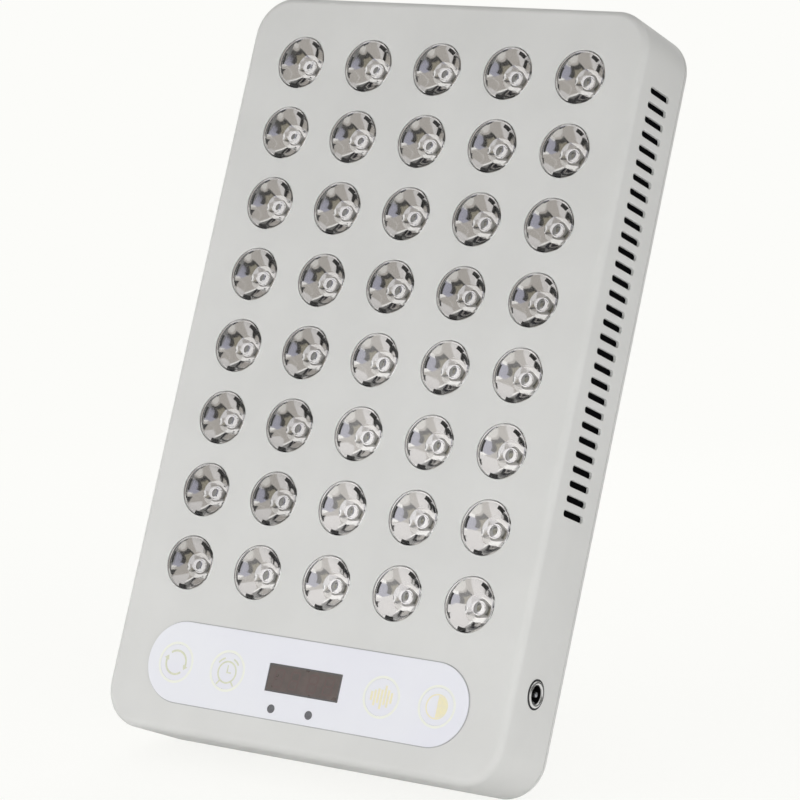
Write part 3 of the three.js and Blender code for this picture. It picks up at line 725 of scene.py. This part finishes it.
def lamp_board():
    front = LENS_HEIGHT + SEAT_GAP
    thickness, margin = 1.6 * MM, 14 * MM
    width = (LAMP_COLUMNS - 1) * COLUMN_PITCH + 2 * margin
    height = (LAMP_ROWS - 1) * ROW_PITCH + 2 * margin
    centre = CASE_HEIGHT - FIRST_ROW_DROP - (LAMP_ROWS - 1) * ROW_PITCH / 2
    outline = rounded(width, height, 2 * MM, 4, (0, centre))
    shapes = [slab(outline, front, front + thickness)]
    shapes += [emitter(x, front, z) for _, x, z in lamp_places()]
    finishes = [white_board, ceramic, silicone, emitter_seat]
    own_piece("lamp_board", together(shapes), finishes, "white_board", PANEL, ["led_board"])


# Control strip

def strip_loop(shrink, y):
    size = STRIP_LENGTH - 2 * shrink, STRIP_HEIGHT - 2 * shrink
    return facing(stadium(*size, 32, (0, STRIP_CENTRE)), y)


def control_strip():
    edge, key_gap, window_corner = 0.15 * MM, 0.03 * MM, 0.2 * MM
    strip = loft([
        strip_loop(edge, STRIP_FRONT),
        strip_loop(edge / 3, STRIP_FRONT + edge / 3),
        strip_loop(0, STRIP_FRONT + edge),
        strip_loop(0, STRIP_FRONT + STRIP_THICKNESS),
    ])
    cutters = [plug(circle(KEY_RADIUS + key_gap, 64, (x, KEY_CENTRE))) for x in KEY_PLACES.values()]
    cutters += [plug(circle(INDICATOR_RADIUS, 32, (x, INDICATOR_CENTRE))) for x in INDICATOR_PLACES.values()]
    cutters.append(plug(rounded(DISPLAY_WIDTH, DISPLAY_HEIGHT, window_corner, 3, (0, STRIP_CENTRE))))
    strip = cut(strip, cutters)
    even_shading(own_piece("strip_film", strip, [film], "gloss_overlay", PANEL, ["control_overlay"]))
    # A dark grey ring just around the film's edge: painted shade of that edge
    inner, outer = 0.1 * MM, -0.32 * MM
    front, back = -0.15 * MM, -0.02 * MM
    rings = [(inner, back), (inner, front), (outer / 2, front), (outer, back), (inner, back)]
    edge_shade_ring = closed_loft([strip_loop(*ring) for ring in rings])
    own_piece("strip_edge_painted_shade", edge_shade_ring, [strip_edge_shade_paint], "gloss_overlay")


def keys():
    edge = 0.05 * MM
    back = STRIP_FRONT + KEY_THICKNESS
    profile = [(0, STRIP_FRONT), (KEY_RADIUS - edge, STRIP_FRONT)]
    profile += [(KEY_RADIUS - edge / 3, STRIP_FRONT + edge / 3), (KEY_RADIUS, STRIP_FRONT + edge)]
    profile += [(KEY_RADIUS, back), (STEM_RADIUS, back), (STEM_RADIUS, STEM_END), (0, STEM_END)]
    shared = mesh_of("key_cap", turned(profile, 64), [key_film], crease=20)
    for name, x in KEY_PLACES.items():
        place = on_front(x, KEY_CENTRE)
        even_shading(piece(f"{name}_cap", shared, "gloss_key", place, [f"key_{name}"], f"{name}_button"))


def inked(outline):
    """A printed patch on the strip's front, as thick as ink."""
    return slab(outline, STRIP_FRONT - INK_DEPTH, STRIP_FRONT + INK_DEPTH)


def inked_arc(centre, radius, stroke, start, end, steps=48):
    """A printed line along part of a circle."""
    return inked(band(centre, radius - stroke / 2, radius + stroke / 2, start, end, steps))


def inked_ring(centre, radius, stroke):
    front, back = STRIP_FRONT - INK_DEPTH, STRIP_FRONT + INK_DEPTH
    outer, inner = radius + stroke / 2, radius - stroke / 2
    profile = [(inner, back), (inner, front), (outer, front), (outer, back), (inner, back)]
    return turned_ring(profile, 72, centre)


def inked_line(start, end, stroke):
    along = (Vector(end) - Vector(start)).normalized() * (stroke / 2)
    across = Vector((-along.y, along.x))
    a, b = Vector(start) - along, Vector(end) + along
    return inked([b - across, b + across, a + across, a - across])


def mode_icon():
    """Two arrows that chase each other round a loop."""
    radius, stroke, reach = 4.6 * MM, 0.8 * MM, 1.5 * MM
    head_turn, line_start, line_end = 8, 18, 160
    shapes = []
    for start in (150, 330):
        shapes.append(inked_arc((0, 0), radius, stroke, start + line_start, start + line_end))
        angle = math.radians(start + head_turn)
        spoke = Vector((math.cos(angle), math.sin(angle)))
        tangent = Vector((spoke.y, -spoke.x))
        forward, aside = tangent * reach * 0.6, spoke * reach * 0.8
        middle = spoke * radius
        head = [middle + forward, middle - forward + aside, middle - forward - aside]
        shapes.append(inked(head))
    return shapes


def timer_icon():
    """An alarm clock: a dial with two hands, two bells and two feet."""
    stroke = 0.65 * MM
    hand = stroke * 0.8
    centre = (0, -0.5 * MM)
    shapes = [
        inked_ring(centre, 4.1 * MM, stroke),
        inked_line((0, -0.6 * MM), (0, 2.0 * MM), hand),
        inked_line((0.6 * MM, -0.6 * MM), (1.6 * MM, -0.6 * MM), hand),
    ]
    for middle in (52, 128):
        shapes.append(inked_arc(centre, 5.6 * MM, stroke, middle - 17, middle + 17, 12))
    for side in (-1, 1):
        shapes.append(inked_line((side * 2.9 * MM, -4.3 * MM), (side * 3.7 * MM, -5.3 * MM), stroke))
    return shapes


def pulse_icon():
    """Bars of a pulse, taller towards the middle. Their ends are in mm."""
    stroke, spacing = 0.9 * MM, 1.45 * MM
    bars = [(-1.2, 1.3), (-3.0, 2.0), (-1.9, 2.7), (-4.0, 2.4), (-2.3, 4.1), (-3.1, 2.6), (-1.4, 1.7)]
    shapes = []
    for place, (low, high) in enumerate(bars):
        x = (place - (len(bars) - 1) / 2) * spacing
        shapes.append(inked_line((x, low * MM), (x, high * MM), stroke))
    return shapes


def brightness_icon():
    """A disc with its right half filled."""
    radius, stroke = 4.5 * MM, 0.55 * MM
    half = arc((0.15 * MM, 0), radius - stroke * 0.8, -90, 90, 32)
    return [inked_ring((0, 0), radius, stroke), inked(half)]


def printed_icons():
    icons = {
        "mode": (mode_icon, pale_ink), "timer": (timer_icon, pale_ink),
        "pulse": (pulse_icon, gold_ink), "brightness": (brightness_icon, gold_ink),
    }
    for name, (draw, ink) in icons.items():
        place = on_front(KEY_PLACES[name], KEY_CENTRE)
        own_piece(f"{name}_icon", together(draw()), [ink], "gloss_key", place, body=f"{name}_button")
    radius, stroke = KEY_RADIUS + 0.6 * MM, 0.95 * MM
    rings = [inked_ring((x, KEY_CENTRE), radius, stroke) for x in KEY_PLACES.values()]
    own_piece("key_rings", together(rings), [ring_ink], "gloss_overlay")


def digit_segments(middle):
    """The seven bars of a digit that isn't lit."""
    half_w, half_h, stroke, gap = 1.85 * MM, 3.3 * MM, 0.75 * MM, 0.2 * MM
    slant = math.tan(math.radians(6))
    bars = [((-half_w, z), (half_w, z)) for z in (-half_h, 0, half_h)]
    bars += [((x, low), (x, low + half_h)) for x in (-half_w, half_w) for low in (-half_h, 0)]
    shapes = []
    for start, end in bars:
        along = (Vector(end) - Vector(start)).normalized() * (stroke / 2 + gap)
        ends = [Vector(start) + along, Vector(end) - along]
        leaning = [(middle + p.x + p.y * slant, STRIP_CENTRE + p.y) for p in ends]
        shapes.append(inked_line(*leaning, stroke))
    return shapes


def display():
    margin, edge, corner = 0.1 * MM, 0.1 * MM, 0.15 * MM
    width, height = DISPLAY_WIDTH - 2 * margin, DISPLAY_HEIGHT - 2 * margin

    def block(w, h, y):
        return facing(rounded(w, h, corner, 3, (0, STRIP_CENTRE)), y)

    face = loft([
        block(width - 2 * edge, height - 2 * edge, STRIP_FRONT),
        block(width, height, STRIP_FRONT + edge),
        block(width, height, 2 * MM),
    ])
    body_margin, body_front, body_back = 3.6 * MM, 1.5 * MM, 7.2 * MM
    size = DISPLAY_WIDTH + body_margin, DISPLAY_HEIGHT + body_margin
    body = loft([block(*size, y) for y in (body_front, body_back)])
    whole = together([face, painted(body, 1)])
    finishes = [smoked, black_plastic]
    even_shading(own_piece("display_window", whole, finishes, "smoked_window", PANEL, ["display_module"]))

    stroke = 0.45 * MM
    left, right = -width / 2 + edge, width / 2 - edge
    low, high = STRIP_CENTRE - height / 2 + edge, STRIP_CENTRE + height / 2 - edge
    borders = []
    for z in (low + stroke / 2, high - stroke / 2):
        borders.append(inked_line((left + stroke / 2, z), (right - stroke / 2, z), stroke))
    bottom, top = low + stroke, high - stroke
    for near, far in ((left + stroke, left), (right, right - stroke)):
        borders.append(inked([(near, bottom), (near, top), (far, top), (far, bottom)]))
    own_piece("window_border", together(borders), [window_frame], "smoked_window")

    digits = []
    for x in (-11.4 * MM, -4.2 * MM, 4.2 * MM, 11.4 * MM):
        digits += digit_segments(x)
    own_piece("digit_ghosts", together(digits), [segment_ink], "smoked_window")


def indicators():
    proud, edge = 0.08 * MM, 0.06 * MM
    radius = INDICATOR_RADIUS - 0.03 * MM
    profile = [(0, STRIP_FRONT - proud), (radius - edge, STRIP_FRONT - proud * 0.8), (radius, STRIP_FRONT)]
    profile.append((0, STRIP_FRONT))
    shared = mesh_of("indicator_disc", turned(profile, 40), [indicator_lens])
    for word, x in INDICATOR_PLACES.items():
        piece(f"indicator_{word}", shared, "smoked_window", on_front(x, INDICATOR_CENTRE))


# Low-voltage socket, turned around its own axis, where 0 is the wall's outer face and the mouth is negative

def socket():
    face, mouth, seat, thread, length = -0.7 * MM, 0.2 * MM, -0.15 * MM, 6 * MM, 13 * MM
    bore, body, barrel, crest, flange = 3.5 * MM, 3.8 * MM, 4.2 * MM, 4.3 * MM, 5.1 * MM
    bore_end = face + 9 * MM
    inside, outside, inner_drop, outer_drop = crest - bore, flange - crest, 0.7 * MM, seat - face
    bezel = [(bore, mouth)]
    bezel += [(crest - inside * cosine, face + inner_drop * (1 - sine)) for sine, cosine in quarter(6)]
    bezel += [(crest + outside * sine, face + outer_drop * (1 - cosine)) for sine, cosine in quarter(6)[1:]]
    bezel += [(barrel, seat), (barrel, thread), (bore, thread), (bore, mouth)]
    sleeve_front, sleeve_bore = face + 0.6 * MM, bore - 0.15 * MM
    sleeve = [(0, bore_end), (sleeve_bore, bore_end), (sleeve_bore, sleeve_front), (bore, sleeve_front)]
    sleeve += [(bore, thread), (body, thread), (body, length), (0, length)]
    radius, tip = 1.05 * MM, face + 0.1 * MM
    pin = [(0, tip), (radius * 0.5, tip + 0.05 * MM), (radius * 0.9, tip + 0.3 * MM)]
    pin += [(radius, tip + 0.7 * MM), (radius, bore_end), (0, bore_end)]
    half, lift = 0.7 * MM, 0.1 * MM
    spring = [(0.9 * MM, 0.5 * MM), (1.9 * MM, 1.2 * MM), (6 * MM, 0.5 * MM)]
    contact = []
    for depth, thick in spring:
        section = box(-half, half, lift - sleeve_bore, thick - sleeve_bore)
        contact.append(facing(section, face + depth))
    shapes = [turned_ring(bezel, 56), painted(turned(sleeve, 48), 1)]
    shapes += [painted(turned(pin, 32), 2), painted(loft(contact), 2)]
    place = PANEL @ Matrix.Translation((CASE_WIDTH / 2, JACK_SETBACK, JACK_HEIGHT)) @ QUARTER_TURN
    finishes = [chrome, bore_plastic, zinc]
    own_piece("socket", together(shapes), finishes, "chrome_bezel", place, ["dc_jack"])
    rim, collar, front, edge = flange + 0.65 * MM, flange + 0.03 * MM, -0.3 * MM, 0.1 * MM
    washer = [(barrel, 0), (rim, 0), (rim, front + edge), (rim - edge, front)]
    washer += [(collar, front), (collar, seat), (barrel, seat), (barrel, 0)]
    own_piece("socket_washer", turned_ring(washer, 56), [rubber], "black_rubber", place)


# Screws and rivets

def screw_mesh():
    """A pan head with a cross recess. Its seat is at y 0, and the head rises towards positive y."""
    radius, height, edge = 2.8 * MM, 1.7 * MM, 0.4 * MM
    profile = [(0, 0), (radius, 0), (radius, edge)]
    profile += [(radius * cosine, edge + (height - edge) * sine) for sine, cosine in quarter(8)[1:]]
    long, wide, deep = 1.5 * MM, 0.42 * MM, 0.5 * MM
    cross = [
        (long, wide), (wide, wide), (wide, long), (-wide, long), (-wide, wide), (-long, wide),
        (-long, -wide), (-wide, -wide), (-wide, -long), (wide, -long), (wide, -wide), (long, -wide),
    ]
    narrow = [(x * 0.6, z * 0.6) for x, z in cross]
    recess = loft([facing(narrow, deep), facing(cross, height + OVERRUN)])
    return mesh_of("pan_head", cut(turned(profile, 40), [recess]), [zinc], crease=30)


def rear_screws():
    shared = screw_mesh()
    edge = CASE_WIDTH / 2 - COVER_SCREW_INSET
    corner = CORNER_RADIUS - (CORNER_RADIUS - COVER_SCREW_INSET) / math.sqrt(2)
    places = []
    for side in (-1, 1):
        places += [(side * (CASE_WIDTH / 2 - corner), z) for z in (corner, CASE_HEIGHT - corner)]
        places += [(side * edge, CASE_HEIGHT * share) for share in (1 / 3, 2 / 3)]
    places += [(0, COVER_SCREW_INSET), (0, CASE_HEIGHT - COVER_SCREW_INSET)]
    half = FAN_SCREW_SPACING / 2
    places += [(x, FAN_CENTRE + z) for x in (-half, half) for z in (-half, half)]
    turn = 0.7
    for number, (x, z) in enumerate(places, 1):
        place = PANEL @ Matrix.Translation((x, CASE_DEPTH, z)) @ Matrix.Rotation(turn * number, 4, "Y")
        piece(f"cover_screw_{number}", shared, "plated_steel", place)


# Stand

def bracket():
    back = BRACKET_FRONT + BRACKET_SHEET
    shapes = [slab(rounded(BRACKET_WIDTH, BRACKET_HEIGHT, 3 * MM, 8), BRACKET_FRONT, back)]
    ear_radius = 5 * MM
    ear_start = BRACKET_FRONT + BRACKET_SHEET / 2
    ear = [(ear_start, -ear_radius), *arc((0, 0), ear_radius, -90, 90, 20), (ear_start, ear_radius)]
    inner = KNUCKLE_WIDTH / 2 + SEAT_GAP
    for side in (-1, 1):
        shapes.append(side_slab(ear, *sorted((side * inner, side * (inner + BRACKET_SHEET)))))
    whole = together(shapes)
    made = own_piece("hinge_bracket", whole, [powder_coat], "powder_coat", BRACKET, ["stand_bracket"])
    soften(made, STAND_ROUNDING)
    radius, height = 1.9 * MM, 0.9 * MM
    profile = [(0, 0), (radius, 0)]
    profile += [(radius * cosine, height * sine) for sine, cosine in quarter(6)[1:]]
    shared = mesh_of("rivet", turned(profile, 32), [zinc])
    places = [(x, z) for x in (-RIVET_SIDE, RIVET_SIDE) for z in (-RIVET_RISE, RIVET_RISE)]
    for number, (x, z) in enumerate(places, 1):
        place = BRACKET @ Matrix.Translation((x, back, z))
        piece(f"bracket_rivet_{number}", shared, "plated_steel", place)


def hinge_pin():
    radius, head, inner, thickness = 2 * MM, 3.2 * MM, 14.1 * MM, 1 * MM
    profile = [(head * sine, -inner - thickness * cosine) for sine, cosine in quarter(6)]
    profile += [(head, -inner), (radius, -inner)]
    mirrored = [(r, -y) for r, y in profile[::-1]]
    pin = turned(profile + mirrored, 40)
    own_piece("hinge_pin", pin, [zinc], "plated_steel", BRACKET @ QUARTER_TURN, ["stand_pin"])


def leg():
    half, across = LEG_WIDTH / 2, KNUCKLE_WIDTH / 2
    corner, round_off, round_drop = 2 * MM, 4 * MM, 2.5 * MM
    end = SHOE_FLOOR + SEAT_GAP - LEG_REACH
    shoulder = -SHOULDER_DROP - SHOULDER_LENGTH
    outline = [
        *arc((-half + corner, end + corner), corner, 180, 270, 6),
        *arc((half - corner, end + corner), corner, 270, 360, 6),
        *arc((half - round_off, shoulder - round_drop), round_off, 0, 45, 6),
        (across, -SHOULDER_DROP),
        (across, 0),
        (-across, 0),
        (-across, -SHOULDER_DROP),
        *arc((-half + round_off, shoulder - round_drop), round_off, 135, 180, 6),
    ]
    web = slab(outline, -LEG_SHEET / 2, LEG_SHEET / 2)
    knuckle = side_slab(circle(HINGE_RADIUS, 40), -across, across)
    heel_face, heel_rise = HINGE_RADIUS + 0.1 * MM, 7 * MM
    turn = Matrix.Rotation(-open_angle, 2)
    heel = [turn @ Vector(point) for point in box(-heel_face, 0, 0, heel_rise)]
    heel = side_slab(heel, -across, across)
    ribs = []
    rib_side, rib_width, rib_root = 13 * MM, 6 * MM, LEG_SHEET / 2 - 0.1 * MM
    top, bottom = shoulder - 6 * MM, end + 16 * MM
    rises = [(0, 0), (-0.5 * MM, 0.5 * MM), (-1.3 * MM, 0.8 * MM)]
    for x in (-rib_side, rib_side):
        rings = []
        for grown, rise in rises:
            outline = upright_slot(top - bottom + 2 * grown, rib_width + 2 * grown, x, (top + bottom) / 2)
            rings.append(facing(outline, rib_root + rise))
        ribs.append(loft(rings))
    whole = together([web, knuckle, heel, *ribs])
    made = own_piece("stand_plate", whole, [powder_coat], "powder_coat", LEG, ["stand_leg"], "stand")
    soften(made, STAND_ROUNDING)


def foot():
    inner = LEG_WIDTH / 2 + SEAT_GAP
    wall = inner + 2 * MM
    half, groove = 4 * MM, 0.4 * MM
    top = 12 * MM - LEG_REACH
    splay = open_angle - LEAN

    def table_at(y):
        return -(hinge.z + y * math.sin(splay)) / math.cos(splay)

    outline = [(-half, table_at(-half)), (half, table_at(half)), (half, top), (-half, top)]
    shoe = side_slab(outline, -wall, wall)
    slot_half = LEG_SHEET / 2 + SEAT_GAP
    slot = box(-slot_half, slot_half, SHOE_FLOOR - LEG_REACH, top + OVERRUN)
    cutters = [side_slab(slot, -inner, inner)]
    for height in (5.5 * MM, 7.5 * MM, 9.5 * MM):
        middle = height - LEG_REACH
        points = box(half - groove, half + OVERRUN, middle - groove, middle + groove)
        cutters.append(side_slab(points, -wall - OVERRUN, wall + OVERRUN))
    shoe = cut(shoe, cutters)
    made = own_piece("rubber_shoe", shoe, [rubber], "black_rubber", LEG, ["stand_foot"], "stand")
    soften(made, 0.25 * MM)


# Inner solids that keep their CAD shape

def dress_nodes():
    finishes = {
        "control_board": green_board, "driver_board": green_board, "heatsink": aluminium,
        "fan_frame": black_plastic, "fan_rotor": black_plastic, "dc_jack_nut": zinc,
    }
    for name, finish in finishes.items():
        nodes[name].material_slots[0].material = finish.material


# Studio

def facing_matrix(place, target):
    """Stands at a place and looks at a target along its own -Z."""
    turn = (target - place).to_track_quat("-Z", "Y")
    return Matrix.Translation(place) @ turn.to_matrix().to_4x4()


def camera():
    data = bpy.data.cameras.new("camera")
    data.lens = FOCAL_LENGTH
    data.sensor_width = SENSOR_WIDTH
    data.clip_start, data.clip_end = 0.05, 50
    made = in_scene("camera", data)
    roll = Matrix.Rotation(math.radians(CAMERA_ROLL), 4, "Z")
    made.matrix_world = facing_matrix(CAMERA_PLACE, CAMERA_TARGET) @ roll
    bpy.context.scene.camera = made


def lamp(name, place, target, size, power):
    data = bpy.data.lights.new(name, "AREA")
    data.shape = "RECTANGLE"
    data.size, data.size_y = size
    data.energy = power
    made = in_scene(name, data)
    made.matrix_world = facing_matrix(Vector(place), target)
    made.visible_camera = made.visible_glossy = made.visible_transmission = False
    return made


def seen_directly(tree):
    """One for rays from the camera, off polished metal or through glass, else zero."""
    path = add_node(tree, "LightPath").outputs
    either = {0: path["Is Glossy Ray"], 1: path["Is Transmission Ray"]}
    either = add_node(tree, "Math", either, operation="MAXIMUM").outputs[0]
    seen = {0: path["Is Camera Ray"], 1: either}
    return add_node(tree, "Math", seen, operation="MAXIMUM").outputs[0]


def mixed(tree, share, first, second):
    return add_node(tree, "MixShader", {"Fac": share, 1: first, 2: second}).outputs[0]


def world():
    """Soft ambient light, and the photograph's pale background for what sees past the part."""
    made = bpy.data.worlds.new("studio")
    bpy.context.scene.world = made
    made.use_nodes = True
    tree = made.node_tree
    tree.nodes.clear()
    ambient = add_node(tree, "Background", {"Color": (1.0, 1.0, 0.99, 1), "Strength": AMBIENT})
    backdrop = add_node(tree, "Background", {"Color": BACKGROUND, "Strength": 1.0})
    surface = mixed(tree, seen_directly(tree), ambient.outputs[0], backdrop.outputs[0])
    add_node(tree, "OutputWorld", {"Surface": surface})


def bare_piece(name, shape):
    """An object of the studio with an empty material, and that material's tree."""
    made = in_scene(name, as_mesh(name, shape))
    material = bpy.data.materials.new(name)
    material.use_nodes = True
    material.node_tree.nodes.clear()
    made.data.materials.append(material)
    return made, material.node_tree


def floor():
    shape = bmesh.new()
    corners = box(-FLOOR_SIZE, FLOOR_SIZE, -FLOOR_SIZE, FLOOR_SIZE)
    shape.faces.new([shape.verts.new((*corner, 0)) for corner in corners])
    made, tree = bare_piece("floor", shape)
    made.location.z = -FLOOR_DROP

    def paint(level):
        colour = (level, level, level * 0.99, 1)
        return add_node(tree, "BsdfDiffuse", {"Color": colour}).outputs[0]

    def glow(strength):
        return add_node(tree, "Emission", {"Color": BACKGROUND, "Strength": strength}).outputs[0]

    shadowed = add_node(tree, "AddShader", {0: paint(SHADOW_PAINT), 1: glow(SHADOW_GLOW)}).outputs[0]
    place = add_node(tree, "TexCoord").outputs["Object"]
    distance = add_node(tree, "VectorMath", {0: place}, operation="LENGTH").outputs["Value"]
    fade = {"From Min": SHADOW_FADE[0], "From Max": SHADOW_FADE[1], "Value": distance}
    fade = add_node(tree, "MapRange", fade, interpolation_type="SMOOTHSTEP").outputs["Result"]
    seen = mixed(tree, fade, shadowed, glow(1.0))
    surface = mixed(tree, seen_directly(tree), paint(FLOOR_PAINT), seen)
    add_node(tree, "OutputMaterial", {"Surface": surface})


def card(name, points, colour):
    """A tinted card, seen only in reflections and through the lenses. Its points come in rows."""
    shape = bmesh.new()
    rows = [[shape.verts.new(point) for point in row] for row in points]
    for near, far in zip(rows, rows[1:]):
        for place in range(len(near) - 1):
            shape.faces.new((near[place], near[place + 1], far[place + 1], far[place]))
    made, tree = bare_piece(f"card_{name}", shape)
    made.visible_camera = made.visible_diffuse = made.visible_shadow = False
    glow = add_node(tree, "Emission", {"Color": (*colour, 1)}).outputs[0]
    add_node(tree, "OutputMaterial", {"Surface": glow})


def curved(azimuths, elevations, distance=CARD_DISTANCE):
    """Part of a sphere around the object. Its limits are degrees to the right of the front, and up."""
    def point(across, up):
        direction = Vector((math.sin(across) * math.cos(up), -math.cos(across) * math.cos(up), math.sin(up)))
        return MIDDLE + direction * distance

    columns, rows = between(*azimuths, CARD_STEPS), between(*elevations, CARD_STEPS)
    return [[point(across, up) for across in columns] for up in rows]


def flat(azimuths):
    """A sector of the table around the part."""
    directions = [(math.sin(angle), -math.cos(angle)) for angle in between(*azimuths, CARD_STEPS)]
    return [[(x * distance, y * distance, CARD_LIFT) for x, y in directions] for distance in TABLE_REACH]


def cards():
    tan, dark = (0.44, 0.42, 0.39), (0.02, 0.018, 0.016)
    card("right", curved((-8, 62), (-3, 44)), tan)
    card("left", curved((-60, -26), (-3, 60)), (0.95, 0.94, 0.92))
    card("top", curved((-26, 62), (44, 66)), (0.66, 0.65, 0.62))
    card("side", curved((72, 125), (-1, 50)), (0.16, 0.16, 0.155))
    card("lavender", curved((-27, -4), (2, 36), 3.6), (0.35, 0.355, 0.43))
    card("olive", curved((-6, 22), (18, 36), 3.4), (0.27, 0.25, 0.19))
    card("dark_left", curved((-10, -3), (14, 40), 3.3), dark)
    card("dark_top", curved((-10, 24), (33, 40), 3.2), dark)
    card("dark_right", curved((18, 25), (22, 36), 3.3), dark)
    card("table_right", flat((-8, 62)), tan)
    card("table_left", flat((-60, -8)), (0.85, 0.84, 0.82))
    near, lift = -0.2, 4 * MM
    bounce = [[(-0.06, -0.085, lift), (0.6, -0.085, lift)], [(-0.02, near, lift), (0.6, near, lift)]]
    bounce.append([(0.03, near, 0.12), (0.6, near, 0.3)])
    card("bounce", bounce, (0.68, 0.67, 0.66))
    card("back_table", flat((112, 178)), (0.19, 0.19, 0.185))
    card("back", curved((126, 178), (-3, 24)), (0.3, 0.3, 0.29))


def glare():
    """Close lamps that only the lenses see."""
    for row, left, right, share in GLARE:
        centre = Vector(((left + right) / 2 * MM, 0, row_height(row - 1)))
        width, height = (right - left) * MM, ROW_PITCH
        place, target = PANEL @ (centre - Vector((0, GLARE_DISTANCE, 0))), PANEL @ centre
        power = GLARE_POWER * width * height * share
        made = lamp(f"glare_{row}_{right}", place, target, (width, height), power)
        made.visible_diffuse, made.visible_transmission = False, True


camera()
for name, (place, size, power) in SOFTBOXES.items():
    lamp(name, place, MIDDLE, size, power)
cards()
glare()
world()
floor()
front_housing()
rear_cover()
vent_shade_screens()
lamp_board()
lenses()
control_strip()
keys()
printed_icons()
display()
indicators()
socket()
rear_screws()
bracket()
hinge_pin()
leg()
foot()
dress_nodes()

bpy.context.scene.view_settings.view_transform = "Standard"
